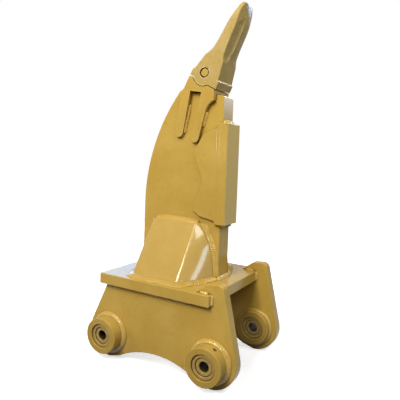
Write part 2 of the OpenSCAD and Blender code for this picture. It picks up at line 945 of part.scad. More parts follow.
module adapter_welds() {
    rear_to = rear_leg_drop * leg_weld_share;
    front_to = front_leg_drop * leg_weld_share;
    color(bead_paint)
        both_sides() {
            leg_weld(rear_leg_end, rear_leg_lean, 0, rear_to, -1);
            leg_weld(rear_leg_end, rear_leg_lean, 0, rear_to, 1);
            leg_weld(front_leg_end, front_leg_lean, 0, front_to, -1);
            leg_weld(front_leg_end, front_leg_lean, leg_weld_from, flare_at, 1);
        }
}

module guard_welds() {
    color(bead_paint)
        at_guard() {
            translate([seat, shank_half, guard_h])
                rotate([90, 0, 0])
                fillet_strip(shank_t, weld_big);
            translate([seat, shank_half, 0])
                rotate([90, 0, 0])
                mirror([0, 1, 0])
                fillet_strip(shank_t, weld_big);
        }
}

deck_plate();
left_ear();
right_ear();
boss(pin_x, true);  // front_left_boss
boss(pin_x, false);  // front_right_boss
boss(-pin_x, true);  // rear_left_boss
boss(-pin_x, false);  // rear_right_boss
bush(pin_x, true);  // front_left_bush
bush(pin_x, false);  // front_right_bush
bush(-pin_x, true);  // rear_left_bush
bush(-pin_x, false);  // rear_right_bush
sleeve(pin_x, true);  // front_left_sleeve
sleeve(pin_x, false);  // front_right_sleeve
sleeve(-pin_x, true);  // rear_left_sleeve
sleeve(-pin_x, false);  // rear_right_sleeve
shank();
left_gusset();
right_gusset();
shank_guard();
adapter();
tooth_point();
tooth_pin();
pin_retainer();
ear_welds();
horn_welds();
shank_welds();
gusset_welds();
boss_welds();
adapter_welds();
guard_welds();
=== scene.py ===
# %% [markdown]
# # A ripper for an excavator
# The part is a single-shank ripper that stands on the lobes of its two ears, tooth up. The solids
# come from the CAD model. This lesson adds what solids lack: eased plate edges, smooth castings,
# rippled weld beads, worn paint and studio light. Everything is in metres, in the CAD frame:
# +Z up, +X the way the tooth leans, +Y to the left side.

# %% Load the frame
import math

import bmesh
import bpy
import numpy as np
from mathutils import Matrix


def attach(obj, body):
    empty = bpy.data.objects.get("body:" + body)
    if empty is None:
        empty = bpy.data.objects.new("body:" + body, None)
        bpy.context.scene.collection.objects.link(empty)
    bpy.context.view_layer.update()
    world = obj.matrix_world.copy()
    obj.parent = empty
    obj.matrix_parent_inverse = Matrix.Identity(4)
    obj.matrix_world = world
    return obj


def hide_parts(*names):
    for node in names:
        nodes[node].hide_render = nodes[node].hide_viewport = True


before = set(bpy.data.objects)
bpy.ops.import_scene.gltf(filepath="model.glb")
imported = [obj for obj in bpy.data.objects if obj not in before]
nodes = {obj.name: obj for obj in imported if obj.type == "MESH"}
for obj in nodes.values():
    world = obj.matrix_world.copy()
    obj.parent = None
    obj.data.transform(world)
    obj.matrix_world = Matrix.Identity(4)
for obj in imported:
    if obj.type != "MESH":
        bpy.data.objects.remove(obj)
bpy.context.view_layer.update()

MM = 0.001

# %% [markdown]
# ## Camera
# The photograph looks at the ripper from its front right, a little from above, and leans by less
# than three degrees. A camera could be turned by hand until it fits. Here it is a point and three
# directions, so its matrix is written directly: the columns are right, up, back and the place. The
# image is square, and the lens is given for a sensor that is 36 mm wide.

# %% Camera at the photograph's angle
VIEW_TURN = math.radians(29.293)
VIEW_RISE = math.radians(5.771)
VIEW_ROLL = math.radians(2.625)
EYE = np.array([0.86645, -1.48615, 0.79041])
LENS_MM, SENSOR_MM = 39.58, 36.0


def pose_matrix(right, up, back, place):
    """Matrix with three directions and a place as its columns."""
    columns = np.column_stack([right, up, back, place])
    return Matrix(np.vstack([columns, [0.0, 0.0, 0.0, 1.0]]).tolist())


back = np.array([math.sin(VIEW_TURN) * math.cos(VIEW_RISE),
                 -math.cos(VIEW_TURN) * math.cos(VIEW_RISE), math.sin(VIEW_RISE)])
level_right = np.array([math.cos(VIEW_TURN), math.sin(VIEW_TURN), 0.0])
level_up = np.cross(back, level_right)
right = level_right * math.cos(VIEW_ROLL) + level_up * math.sin(VIEW_ROLL)
up = level_up * math.cos(VIEW_ROLL) - level_right * math.sin(VIEW_ROLL)

camera_data = bpy.data.cameras.new("photo_camera")
camera_data.lens = LENS_MM
camera_data.sensor_width = SENSOR_MM
camera = bpy.data.objects.new("photo_camera", camera_data)
camera.matrix_world = pose_matrix(right, up, back, EYE)
bpy.context.scene.collection.objects.link(camera)
bpy.context.scene.camera = camera
print("camera at", EYE, "looking along", np.round(-back, 3))

# %% [markdown]
# ## Meshes from arrays
# Every new piece is worked out as a whole array of points. A grid of points becomes a mesh by
# joining neighbours to quads. These helpers join grids, put them into a Blender mesh with
# foreach_set, and turn all faces outward.

# %% Helpers that turn arrays into meshes
MERGE_WITHIN = 1e-6


def grid_quads(rows, cols, wrap_cols=False, wrap_rows=False):
    """Quads of a rows x cols grid of points numbered row by row."""
    r = np.arange(rows if wrap_rows else rows - 1)
    c = np.arange(cols if wrap_cols else cols - 1)
    rr, cc = np.meshgrid(r, c, indexing="ij")
    r1, c1 = (rr + 1) % rows, (cc + 1) % cols
    quads = np.stack([rr * cols + cc, rr * cols + c1, r1 * cols + c1, r1 * cols + cc], axis=-1)
    return quads.reshape(-1, 4)


def mesh_piece(name, points, faces, smooth_angle=40.0):
    """Object at the origin from an N x 3 array and a list of face arrays, normals outward."""
    mesh = bpy.data.meshes.new(name)
    sizes = np.concatenate([np.full(len(f), f.shape[1]) for f in faces])
    corners = np.concatenate([f.reshape(-1) for f in faces])
    mesh.vertices.add(len(points))
    mesh.vertices.foreach_set("co", np.ascontiguousarray(points, np.float32).reshape(-1))
    mesh.loops.add(len(corners))
    mesh.loops.foreach_set("vertex_index", corners.astype(np.int32))
    mesh.polygons.add(len(sizes))
    mesh.polygons.foreach_set("loop_start", (np.cumsum(sizes) - sizes).astype(np.int32))
    mesh.update(calc_edges=True)
    shell = bmesh.new()
    shell.from_mesh(mesh)
    bmesh.ops.remove_doubles(shell, verts=shell.verts, dist=MERGE_WITHIN)
    bmesh.ops.recalc_face_normals(shell, faces=shell.faces)
    shell.to_mesh(mesh)
    shell.free()
    mesh.shade_smooth()
    mesh.set_sharp_from_angle(angle=math.radians(smooth_angle))
    piece = bpy.data.objects.new(name, mesh)
    bpy.context.scene.collection.objects.link(piece)
    return piece


def stand_for(piece, node):
    """The piece is shown in place of a CAD node: it is attached to the root body, and the node is
    hidden.
    """
    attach(piece, "root")
    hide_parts(node)
    print(f"{piece.name}: {len(piece.data.vertices)} points for {node}")
    return piece


print("mesh helpers ready")

# %% [markdown]
# ## Plates with eased edges
# A gas-cut plate never keeps a razor edge: it is ground and then painted, so each edge is a small
# round that catches the light. The CAD solids have sharp edges. A copy of each plate is merged to
# a clean shell, its flat triangles are joined, and a Bevel modifier rounds the edges. The round
# lies inside the CAD solid, so the size stays. The guard and the adapter are cast, so their rounds
# are wider.

# %% Ease the edges of the plates
FLAT_WITHIN, EDGE_FROM = math.radians(0.4), math.radians(18)
PLATE_MERGE, ROUND_STEPS = 2e-6, 3


def eased_copy(node, width_mm):
    """Copy of a CAD node with every sharp edge rounded by width_mm."""
    mesh = nodes[node].data.copy()
    mesh.name = node + "_eased"
    mesh.materials.clear()
    shell = bmesh.new()
    shell.from_mesh(mesh)
    bmesh.ops.remove_doubles(shell, verts=shell.verts, dist=PLATE_MERGE)
    bmesh.ops.dissolve_limit(shell, angle_limit=FLAT_WITHIN, verts=shell.verts, edges=shell.edges)
    shell.to_mesh(mesh)
    shell.free()
    if "custom_normal" in mesh.attributes:
        mesh.attributes.remove(mesh.attributes["custom_normal"])
    mesh.shade_smooth()
    mesh.set_sharp_from_angle(angle=EDGE_FROM)
    piece = bpy.data.objects.new(node + "_eased", mesh)
    bpy.context.scene.collection.objects.link(piece)
    round_edges = piece.modifiers.new("ground edge", "BEVEL")
    round_edges.width = width_mm * MM
    round_edges.segments = ROUND_STEPS
    round_edges.limit_method = "ANGLE"
    round_edges.angle_limit = EDGE_FROM
    round_edges.harden_normals = True
    return stand_for(piece, node)


eased = {node: eased_copy(node, width) for node, width, slot in (
    ("deck_plate", 2.5, "paint"), ("left_ear", 3.0, "paint"), ("right_ear", 3.0, "paint"),
    ("shank", 3.0, "paint"), ("shank_guard", 5.0, "paint"), ("adapter", 5.0, "cast_paint"))}

# %% [markdown]
# ## Sizes shared with the CAD model
# The smooth pieces below follow the same formulas as the solids that they stand for, so the values
# are repeated here, in millimetres. SEAT is the hair by which welded pieces stand apart. BIG, SMALL
# and FINE are the legs of the weld beads.

# %% Values of the gussets, the tooth and the welds, in millimetres
SEAT = 0.3
DECK_TOP, DECK_UNDER, DECK_FRONT = 329.0, 289.0, 214.0
EAR_IN, EAR_OUT, EAR_REAR, HORN_START = 174.0, 214.0, 238.0, 152.0
PIN_X, PIN_Z, BOSS_R = 220.0, 97.0, 68.0
SHANK_HALF, SHANK_FRONT, SHANK_REAR = 40.0, 147.0, 202.0
SHANK_LEAN, SHANK_END_SLOPE = math.radians(0.9), math.radians(8.0)
SHANK_END_Z = 1009.0
SHANK_END_X = SHANK_FRONT - (SHANK_END_Z - DECK_TOP) * math.tan(SHANK_LEAN)
BIG, SMALL, FINE = 16.0, 11.0, 8.0


def mix(a, b, t):
    """Value t of the way from a to b: a plus t times the difference."""
    return a + (b - a) * t


def smooth(a, b, x):
    """Smooth step: 0 below a, 1 above b, three t squared less two t cubed between."""
    t = np.clip((x - a) / (b - a), 0.0, 1.0)
    return t * t * (3.0 - 2.0 * t)


def unit(v):
    """Direction of length one: the vector divided by its length."""
    return v / np.linalg.norm(v, axis=-1, keepdims=True)


print("deck top at", DECK_TOP, "mm, pins", 2 * PIN_X, "mm apart")

# %% [markdown]
# ## Gussets
# Each gusset is one folded plate: a leaning side panel with an end panel bent back to the shank at
# each end. The bends are wide at the deck and tight at the top, like part of a cone. A stack of
# flat outlines would show facets, so the outline is a function of two parameters, the distance
# along it and the level from deck to top. The inner face is the same function, drawn in.

# %% Bends and straight runs of a folded plate
GUSSET_REACH, GUSSET_H, GUSSET_T = 160.0, 208.0, 20.0
SIDE_FRONT, SIDE_REAR, SIDE_FRONT_IN, SIDE_REAR_IN = 68.0, 140.0, 12.0, 4.0
REAR_RUN, FRONT_GAP, FRONT_LEAD, FRONT_SWEEP, FRONT_BOW = 44.0, 13.0, 2.0, 2.5, 8.0
FOLD_LOW, FOLD_HIGH, TOP_GAP = 26.0, 8.0, 2.0
BEND_STEPS, PANEL_STEPS, REAR_STEPS, SIDE_STEPS, LEVELS = 14, 24, 10, 16, 64
GUSSET_PLATE = GUSSET_T * math.hypot(GUSSET_REACH - GUSSET_T, GUSSET_H) / GUSSET_H
GUSSET_TOP = GUSSET_PLATE + TOP_GAP


def bend_points(a, b, c, r):
    """Arc of radius r that rounds the corner b between a and c, for a whole column of levels."""
    u, w = unit(a - b), unit(c - b)
    half = np.arccos(np.sum(u * w, axis=-1)) / 2.0
    centre = b + unit(u + w) * (r / np.sin(half))[:, None]
    reach = (r / np.tan(half))[:, None]
    start, end = b + u * reach - centre, b + w * reach - centre
    turn = (np.pi - 2.0 * half)[:, None, None]
    t = np.linspace(0.0, 1.0, BEND_STEPS)[None, :, None]
    arc = start[:, None] * np.sin(turn * (1.0 - t)) + end[:, None] * np.sin(turn * t)
    return centre[:, None] + arc / np.sin(turn)


def between(steps):
    """Even shares from 0 to 1 without the two ends, as a row."""
    return np.linspace(0.0, 1.0, steps + 2)[None, 1:-1, None]


def straight(p, q, steps):
    """Points on the line from p to q, without the two ends."""
    return mix(p[:, None], q[:, None], between(steps))


print("gusset plate", round(GUSSET_PLATE, 1), "mm thick when cut level")


# %% Gusset as a function of distance and level
def gusset_line(level, inset):
    """Outline at each level: rear foot, rear bend, side, front bend, bowed panel, front foot.

    The reach from the shank falls in a straight line with the level. The front foot draws back by
    the level to a power, and the front panel bows out by a parabola that fades upward.
    """
    reach = mix(GUSSET_REACH, GUSSET_TOP, level)
    out = SHANK_HALF + SEAT + reach - inset
    face = np.full_like(level, SHANK_HALF + SEAT)
    rear = -SIDE_REAR + SIDE_REAR_IN * level
    front_foot = mix(SHANK_FRONT - FRONT_GAP, SIDE_FRONT + FRONT_LEAD, level ** FRONT_SWEEP) - inset
    r = mix(FOLD_LOW, FOLD_HIGH, level) - inset / 5.0
    a = np.stack([rear - REAR_RUN * reach / GUSSET_REACH + inset, face], axis=-1)
    b = np.stack([rear + inset / 2.0, out], axis=-1)
    c = np.stack([SIDE_FRONT - SIDE_FRONT_IN * level - inset / 2.0, out], axis=-1)
    d = np.stack([front_foot, face], axis=-1)
    rear_bend, front_bend = bend_points(a, b, c, r), bend_points(b, c, d, r)
    way = unit(d - front_bend[:, -1])
    t = between(PANEL_STEPS)
    bow = (FRONT_BOW * (1.0 - level))[:, None, None] * 4.0 * t * (1.0 - t)
    panel = straight(front_bend[:, -1], d, PANEL_STEPS)
    panel = panel + bow * np.stack([-way[:, 1], way[:, 0]], axis=-1)[:, None]
    return np.concatenate([
        a[:, None], straight(a, rear_bend[:, 0], REAR_STEPS), rear_bend,
        straight(rear_bend[:, -1], front_bend[:, 0], SIDE_STEPS), front_bend, panel, d[:, None]],
        axis=1)


def gusset_piece(name, side):
    """Closed plate: outer and inner outline make one ring at each level, and two end caps."""
    level = np.linspace(0.0, 1.0, LEVELS)
    outer, inner = gusset_line(level, 0.0), gusset_line(level, GUSSET_PLATE)
    ring = np.concatenate([outer, inner[:, ::-1]], axis=1)
    height = (DECK_TOP + GUSSET_H * level)[:, None, None]
    height = np.broadcast_to(height, ring.shape[:2] + (1,))
    points = np.concatenate([ring, height], axis=-1) * MM
    points[..., 1] *= side
    rows, cols = points.shape[:2]
    i = np.arange(cols // 2 - 1)
    cap = np.stack([i, i + 1, cols - 2 - i, cols - 1 - i], axis=-1)
    return mesh_piece(name, points.reshape(-1, 3),
                      [grid_quads(rows, cols, wrap_cols=True), cap, cap + (rows - 1) * cols])


gussets = [stand_for(gusset_piece(f"{word}_gusset_folded", side), f"{word}_gusset")
           for word, side in (("left", 1.0), ("right", -1.0))]

# %% [markdown]
# ## Tooth point
# The point is one heavy piece: a square socket with a rim at its base, round lugs beside the pin,
# and a blade with a rib between two flutes on its front and on its back. It could be sculpted, but
# then it would drift from the solid. So its surface is a function of the way round the section and
# the distance up the tooth. The depth and width come from smooth curves, and the flutes are cut by
# a share that grows and fades along the blade.

# %% Depth, width and flutes along the tooth
T_LEAN, T_LEN, T_W, T_D = math.radians(27.0), 308.0, 122.0, 124.0
NECK_AT, NECK_D, BLADE_AT, BLADE_D, BLADE_FALL = 116.0, 70.0, 204.0, 60.0, 1.7
BLADE_W, WIDE_TO, TIP_W, TIP_T, TIP_ROUND = 112.0, 235.0, 56.0, 10.0, 7.0
RIM_H, RIM_STEP, RIM_LEDGE, BOW = 26.0, 6.0, 6.0, 3.0
RIB_W, RIB_MARGIN, FLUTE_D, FLUTE_WALL, FLUTE_FOOT = 24.0, 11.0, 11.0, 10.0, 0.55
FLUTE_BELOW_NECK, FLUTE_BELOW_TIP, LAND_BELOW, LAND_ABOVE = 24.0, 4.0, 74.0, 36.0
TOOTH_BACK, TOOTH_UP = 83.0, 50.0
TOOTH_FOOT = np.array([SHANK_END_X - TOOTH_BACK, 0.0, SHANK_END_Z + TOOTH_UP])


def eased_curve(s, values, reach):
    """Mean of a curve over a short reach, which rounds its corners."""
    fine = np.linspace(-40.0, T_LEN + 40.0, 1400)
    kernel = np.hanning(max(3, int(reach / (fine[1] - fine[0])))) + 1e-9
    n = len(kernel)
    padded = np.pad(values(fine), n, mode="edge")
    return np.interp(s, fine, np.convolve(padded, kernel / kernel.sum(), "same")[n:-n])


def plain_depth(s):
    """Half depth: straight from rim to neck and to the shoulder, then a power curve to the tip."""
    fall = np.clip((s - BLADE_AT) / (T_LEN - BLADE_AT), 0.0, 1.0) ** BLADE_FALL
    base = np.interp(s, [RIM_H + RIM_STEP / 2, NECK_AT, BLADE_AT],
                     [T_D / 2 - RIM_STEP, NECK_D / 2, BLADE_D / 2])
    return np.where(s > BLADE_AT, mix(BLADE_D, TIP_T, fall) / 2.0, base)


def half_width(s):
    """Half width: nearly constant, then rounded off to the tip as a cube."""
    fall = np.clip((s - WIDE_TO) / (T_LEN - WIDE_TO), 0.0, 1.0) ** 3
    base = np.interp(s, [0.0, NECK_AT], [T_W, BLADE_W])
    return np.where(s > WIDE_TO, mix(BLADE_W, TIP_W, fall), base) / 2.0


def flute_share(s):
    """Share of the flutes' depth: one less the fourth power of the distance from the middle."""
    low, high = NECK_AT - FLUTE_BELOW_NECK, T_LEN - FLUTE_BELOW_TIP
    t = np.abs(2.0 * (s - low) / (high - low) - 1.0)
    return np.where(t < 1.0, 1.0 - t ** 4, 0.0)


def flute_form(s, t):
    """Share of the cut, t of the way from the rib to the side: a steep wall and a sloping floor.

    Near the tip the floor gives way to a flat facet, so the larger of the two is taken.
    """
    left = np.clip((T_LEN - LAND_ABOVE - s) / (LAND_BELOW - LAND_ABOVE), 0.0, 1.0)
    return np.maximum(t, left * (1.0 - (1.0 - t) ** FLUTE_WALL) * mix(FLUTE_FOOT, 1.0, t))


def in_tooth(q, y, s):
    """Points of the tooth's own frame, turned by its lean, in metres of the whole ripper."""
    x = TOOTH_FOOT[0] + q * math.cos(T_LEAN) + s * math.sin(T_LEAN)
    z = TOOTH_FOOT[2] - q * math.sin(T_LEAN) + s * math.cos(T_LEAN)
    return np.stack([x, y, z], axis=-1) * MM


print("base of the tooth at", np.round(TOOTH_FOOT, 1))

# %% [markdown]
# The rows of the skin lie close together at the rim's ledge and at the tip, where the form changes
# fast, and wider on the blade. One quarter of a section is worked out and mirrored twice.

# %% Skin of the tooth point
LUG_R, LUG_FADE, PIN_AT, PIN_BACK = 47.0, 22.0, 32.0, 9.0
CORNER_R, CORNER_SHARE, LEAST_CORE = 5.0, 0.45, 5.0
DEPTH_EASE, WIDTH_EASE, FLUTE_EASE = 26.0, 22.0, 14.0


def tooth_skin():
    """Outer skin row by row: half a section from the front rib to the back rib, then its mirror.

    Each half section is a front face with rib and flute, a rounded corner, a flat side, a rounded
    corner and a back face. The lowest rows dip on the sides to follow the round lugs.
    """
    s = np.concatenate([np.linspace(0.0, 24.0, 9), np.linspace(25.0, 31.0, 9),
                        np.linspace(33.0, 300.0, 150), np.linspace(301.0, T_LEN, 9)])[:, None]
    d = eased_curve(s, plain_depth, DEPTH_EASE)
    d = d + RIM_STEP * (1.0 - smooth(RIM_H, RIM_H + RIM_LEDGE, s))
    w = eased_curve(s, half_width, WIDTH_EASE)
    last = np.clip((s - T_LEN + TIP_ROUND) / TIP_ROUND, 0.0, 1.0)
    end = np.sqrt(1.0 - 0.5 * last ** 2)
    d, w = d * end, w * end
    share = eased_curve(s, flute_share, FLUTE_EASE)
    cut = np.maximum(np.minimum(FLUTE_D * share, d - LEAST_CORE), 0.0)
    edge = d - cut
    soft = np.minimum(CORNER_R, CORNER_SHARE * edge)
    rib = mix(w - RIB_MARGIN, RIB_W / 2.0, np.sqrt(share))
    t = np.linspace(0.0, 1.0, 40)[None] ** 1.6
    on_rib = np.linspace(0.0, 1.0, 12)[None, :-1] * rib
    y_face = np.concatenate([on_rib, mix(rib, w - soft, t)], axis=1)
    q_face = d - np.concatenate([0.0 * on_rib, cut * flute_form(s, t)], axis=1)
    turn = np.linspace(0.0, np.pi / 2.0, 7)[None, 1:]
    q_turn = edge - soft + soft * np.cos(turn)
    y_turn = w - soft + soft * np.sin(turn)
    side = np.linspace(1.0, 0.0, 22)[None, 1:]
    q_side, y_side = side * (edge - soft), np.broadcast_to(w, (len(s), side.size))
    q_front = np.concatenate([q_face, q_turn, q_side], axis=1)
    y_front = np.concatenate([y_face, y_turn, y_side], axis=1)
    q_half = np.concatenate([q_front, -q_front[:, -2::-1]], axis=1)
    y_half = np.concatenate([y_front, y_front[:, -2::-1]], axis=1)
    q = np.concatenate([q_half, q_half[:, -2:0:-1]], axis=1) + BOW * share
    y = np.concatenate([y_half, -y_half[:, -2:0:-1]], axis=1)
    on_side = np.abs(y) > w - 0.5 * soft
    chord = np.clip(LUG_R ** 2 - (q + PIN_BACK) ** 2, 0.0, None)
    lug = np.minimum(PIN_AT - np.sqrt(chord), 0.0) * on_side
    return q, y, s + lug * (1.0 - smooth(0.0, LUG_FADE, s))


skin_q, skin_y, skin_s = tooth_skin()
print("skin of", skin_q.shape[0], "rows and", skin_q.shape[1], "columns")

# %% [markdown]
# The point is hollow. Its skin is carried on over the base edge and into the socket, which tapers to
# a flat end, so that skin and socket are one closed surface.

# %% Tooth point with its socket
SOCKET_WALL, SOCKET_PLAY, NOSE_LEN = 16.0, 0.8, 122.0
SOCKET_D, SOCKET_W = T_D / 2 - SOCKET_WALL + SOCKET_PLAY, T_W / 2 - SOCKET_WALL + SOCKET_PLAY
SOCKET_END_D, SOCKET_END_W, TOOTH_SHARP = 19.8, 30.8, 38.0


def tooth_piece(q, y, s):
    """Outer skin, a flat base, the socket inside and a small flat at the tip.

    The socket's mouth is the base outline drawn in to a rectangle, each point along its own ray.
    """
    cols = q.shape[1]
    reach = np.maximum(np.abs(q[0]) / SOCKET_D, np.abs(y[0]) / SOCKET_W)
    q_in, y_in = q[0] / reach, y[0] / reach
    bottom = np.full(cols, NOSE_LEN + SOCKET_PLAY)
    inside = np.stack([
        in_tooth(q_in, y_in, s[0]),
        in_tooth(q_in, y_in, np.zeros(cols)),
        in_tooth(q_in * (SOCKET_END_D / SOCKET_D), y_in * (SOCKET_END_W / SOCKET_W), bottom),
        in_tooth(q_in * 0.0, y_in * 0.0, bottom)])
    tip = in_tooth(q[-1] * 0.0 + q[-1].mean(), y[-1] * 0.0, np.full(cols, T_LEN))
    skin = np.concatenate([inside[::-1], in_tooth(q, y, s), tip[None]])
    return mesh_piece("tooth_point_forged", skin.reshape(-1, 3),
                      [grid_quads(len(skin), cols, wrap_cols=True)], TOOTH_SHARP)


tooth = tooth_piece(skin_q, skin_y, skin_s)
print("tooth point of", len(tooth.data.polygons), "faces")

# %% [markdown]
# The pin hole is cut with a Boolean modifier, because it crosses the skin at an angle that no row of
# the grid follows. The cutter is a round bar made the same way as the other pieces, and the result
# is kept as a plain mesh.

# %% Pin hole through the lugs
HOLE_R, CUTTER_HALF = 19.0, 90.0


def round_bar(name, r, half, steps=64):
    """Closed bar of radius r along Y through the pin's place in the tooth."""
    turn = np.linspace(0.0, 2.0 * np.pi, steps, endpoint=False)[None]
    rr = np.array([0.0, r, r, 0.0])[:, None]
    yy = np.array([-half, -half, half, half])[:, None]
    skin = in_tooth(-PIN_BACK + rr * np.cos(turn), yy + 0.0 * turn, PIN_AT + rr * np.sin(turn))
    return mesh_piece(name, skin.reshape(-1, 3), [grid_quads(4, steps, wrap_cols=True)])


cutter = round_bar("pin_hole_cutter", HOLE_R, CUTTER_HALF)
drill = tooth.modifiers.new("pin hole", "BOOLEAN")
drill.operation = "DIFFERENCE"
drill.solver = "EXACT"
drill.object = cutter
bpy.context.view_layer.update()
seen_tooth = tooth.evaluated_get(bpy.context.evaluated_depsgraph_get())
drilled = bpy.data.meshes.new_from_object(seen_tooth)
tooth.modifiers.clear()
tooth.data = drilled
tooth.data.set_sharp_from_angle(angle=math.radians(TOOTH_SHARP))
bpy.data.objects.remove(cutter)
stand_for(tooth, "tooth_point")

# %% [markdown]
# ## Weld beads
# A fillet weld fills the corner between two plates. Its surface swells a little, and each pass of
# the electrode leaves a crescent ripple. A texture could fake the ripples, but they would not catch
# the light along the outline. So a bead is a profile carried along the corner line: a quarter of a
# rounded diamond between the two faces, scaled by the ripple and by a slow swell. A welder's hand is
# not even, so the ripples of an open bead wander and grow deeper and shallower. One function makes
# every bead, given the corner line and the two directions that leave it.

# %% Profile of a bead carried along a corner line
BEAD_STEP, RIPPLE_PITCH = 1.5, 7.5
BEAD_FILL, RIPPLE_DEPTH, CRESCENT, END_SHARE = 0.86, 0.2, 0.45, 0.35
X, Y, Z = np.eye(3)


def along(path):
    """Distance along a line of points."""
    return np.concatenate([[0.0], np.cumsum(np.linalg.norm(np.diff(path, axis=0), axis=1))])


def resample(path, step, *others):
    """The line, and directions given at its points, at even steps."""
    s = along(path)
    new = np.linspace(0.0, s[-1], max(8, int(s[-1] / step)))
    pick = lambda a: np.stack([np.interp(new, s, a[:, axis]) for axis in range(3)], axis=1)
    return [pick(path)] + [unit(pick(np.broadcast_to(o, path.shape))) for o in others]


def bead_scale(s, crest, phase, closed, rough, ease):
    """Size of a bead along its line: a fill, plus a swell of two sines, plus falling steps.

    Each ripple falls from its depth to nothing along one pitch, as a power, and its crest leads its
    edges, which bends it to a crescent. A closed bead repeats after one lap, and an open one thins
    out at its ends as a square root over the length ease.
    """
    length = s[-1, 0]
    if closed:
        lap = 2.0 * np.pi * s / length
        swell = 0.05 * np.sin(9.0 * lap + phase) + 0.04 * np.sin(23.0 * lap + 2.0 * phase)
        wander, depth, taper = 0.0, RIPPLE_DEPTH, 1.0
    else:
        swell = 0.05 * np.sin(s / 17.0 + 5.0 * phase) + 0.04 * np.sin(s / 6.1 + 3.0 * phase)
        wander = 0.5 * np.sin(s / 23.0 + 7.0 * phase)
        depth = RIPPLE_DEPTH * (0.55 + 0.45 * np.sin(s / 29.0 + 11.0 * phase))
        gap = np.minimum(s, length - s)
        taper = mix(END_SHARE, 1.0, np.sqrt(np.clip(gap / ease, 0.0, 1.0)))
    count = max(1.0, np.round(length / RIPPLE_PITCH))
    ripple = (s / length * count + phase + wander - CRESCENT * crest) % 1.0
    return taper * (BEAD_FILL + crest * rough * (swell + depth * (1.0 - ripple) ** 1.5))


def bead(path, way_a, way_b, leg_a, leg_b, phase=0.0, closed=False, rough=1.0, k=1.4, ease=9.0):
    """Points and faces of one bead: corner plus a swelling arc from face a to face b.

    The arc is cos to the power k along way_a and sin to the power k along way_b, with k between
    one, a quarter circle, and two, a straight line.
    """
    path, way_a, way_b = resample(np.asarray(path, float), BEAD_STEP, way_a, way_b)
    turn = np.linspace(0.0, np.pi / 2.0, 11)[None]
    scale = bead_scale(along(path)[:, None], np.sin(2.0 * turn), phase, closed, rough, ease)
    a = leg_a * scale * np.cos(turn) ** k
    b = leg_b * scale * np.abs(np.sin(turn)) ** k
    arc = path[:, None] + a[..., None] * way_a[:, None] + b[..., None] * way_b[:, None]
    ring = np.concatenate([path[:, None], arc], axis=1)
    if closed:
        ring = ring[:-1]
    rows, cols = ring.shape[:2]
    faces = [grid_quads(rows, cols, wrap_cols=True, wrap_rows=closed)]
    if not closed:
        fan = np.arange(1, cols - 1)
        cap = np.stack([np.zeros_like(fan), fan, fan + 1], axis=-1)
        faces += [cap, cap + (rows - 1) * cols]
    return ring.reshape(-1, 3), faces


def bead_set(node, beads):
    """All beads of one CAD weld node as one piece."""
    points, faces, start = [], [], 0
    for ring, quads in beads:
        points.append(ring)
        faces += [f + start for f in quads]
        start += len(ring)
    piece = mesh_piece(node + "_rippled", np.concatenate(points) * MM, faces, smooth_angle=60.0)
    return stand_for(piece, node)


def both_sides(make):
    """Beads of the left side, where side is 1, and of the right side, where it is -1."""
    return make(1.0) + make(-1.0)


print("bead profile ready, one ripple every", RIPPLE_PITCH, "mm")

# %% [markdown]
# The beads of the headstock run under the deck along the ears, on the deck beside the horns, down
# the front edge beside the horns, and round every boss, outside and inside. Those round the bosses
# look smoother in the photograph, so their ripples are shallow.

# %% Beads of the headstock
BOSS_ROUGH = 0.35


def ear_beads(side):
    """Straight corner lines under the deck, outside and inside one ear."""
    ends = np.array([[-EAR_REAR, 0, DECK_UNDER], [HORN_START - SMALL, 0, DECK_UNDER]])
    return [bead(ends + side * EAR_OUT * Y, side * Y, -Z, SMALL, SMALL, 0.1),
            bead(ends + side * EAR_IN * Y, -side * Y, -Z, SMALL, SMALL, 0.6)]


def horn_beads(side):
    """Straight corner lines beside one horn, on the deck and down its front edge."""
    start = HORN_START + 1.5 * SMALL
    top = np.array([[start, 0, DECK_TOP], [DECK_FRONT - SMALL, 0, DECK_TOP]])
    drop = np.array([[DECK_FRONT, 0, DECK_UNDER], [DECK_FRONT, 0, DECK_TOP]])
    return [bead(top + side * (EAR_OUT + SEAT) * Y, side * Y, Z, SMALL, SMALL, 0.2),
            bead(top + side * (EAR_IN - SEAT) * Y, -side * Y, Z, SMALL, SMALL, 0.5),
            bead(drop + side * EAR_OUT * Y, side * Y, X, SMALL, SMALL, 0.3),
            bead(drop + side * EAR_IN * Y, -side * Y, X, SMALL, SMALL, 0.8)]


def boss_beads(side):
    """Circles round the two bosses of one ear, heavy outside and lighter inside."""
    turn = np.linspace(0.0, 2.0 * np.pi, 361)
    outward = np.stack([np.cos(turn), 0.0 * turn, np.sin(turn)], axis=1)
    made = []
    for x, phase in ((PIN_X, 0.15), (-PIN_X, 0.7)):
        rim = np.array([x, 0.0, PIN_Z]) + (BOSS_R + SEAT) * outward
        for wall, way, leg in ((EAR_OUT, 1.0, BIG), (EAR_IN, -1.0, SMALL)):
            made.append(bead(rim + side * wall * Y, outward, way * side * Y, leg, leg, phase,
                             closed=True, rough=BOSS_ROUGH))
    return made


bead_pieces = [
    bead_set("ear_welds", both_sides(ear_beads)),
    bead_set("horn_welds", both_sides(horn_beads)),
    bead_set("boss_welds", both_sides(boss_beads))]

# %% [markdown]
# The gussets are welded all round: along their foot on the deck, up both end panels on the shank
# and across the top. The corner lines come from the same function as the gussets themselves, so the
# beads follow the curve of the front panel. The foot has a broad, lumpy bead. The top one is nearly
# smooth and slopes from the plate's outer edge to the shank, so that the gusset ends softly.

# %% Beads of the gussets and of the shank's foot
FOOT_ROUGH, FRONT_ROUGH, REAR_ROUGH, TOP_ROUGH = 1.4, 1.1, 0.5, 0.3
FOOT_LEG, TOP_LEG_OUT, TOP_LEG_UP = 1.5 * BIG, GUSSET_TOP - 1.0, 1.2 * BIG
PANEL_GAP = 1.5


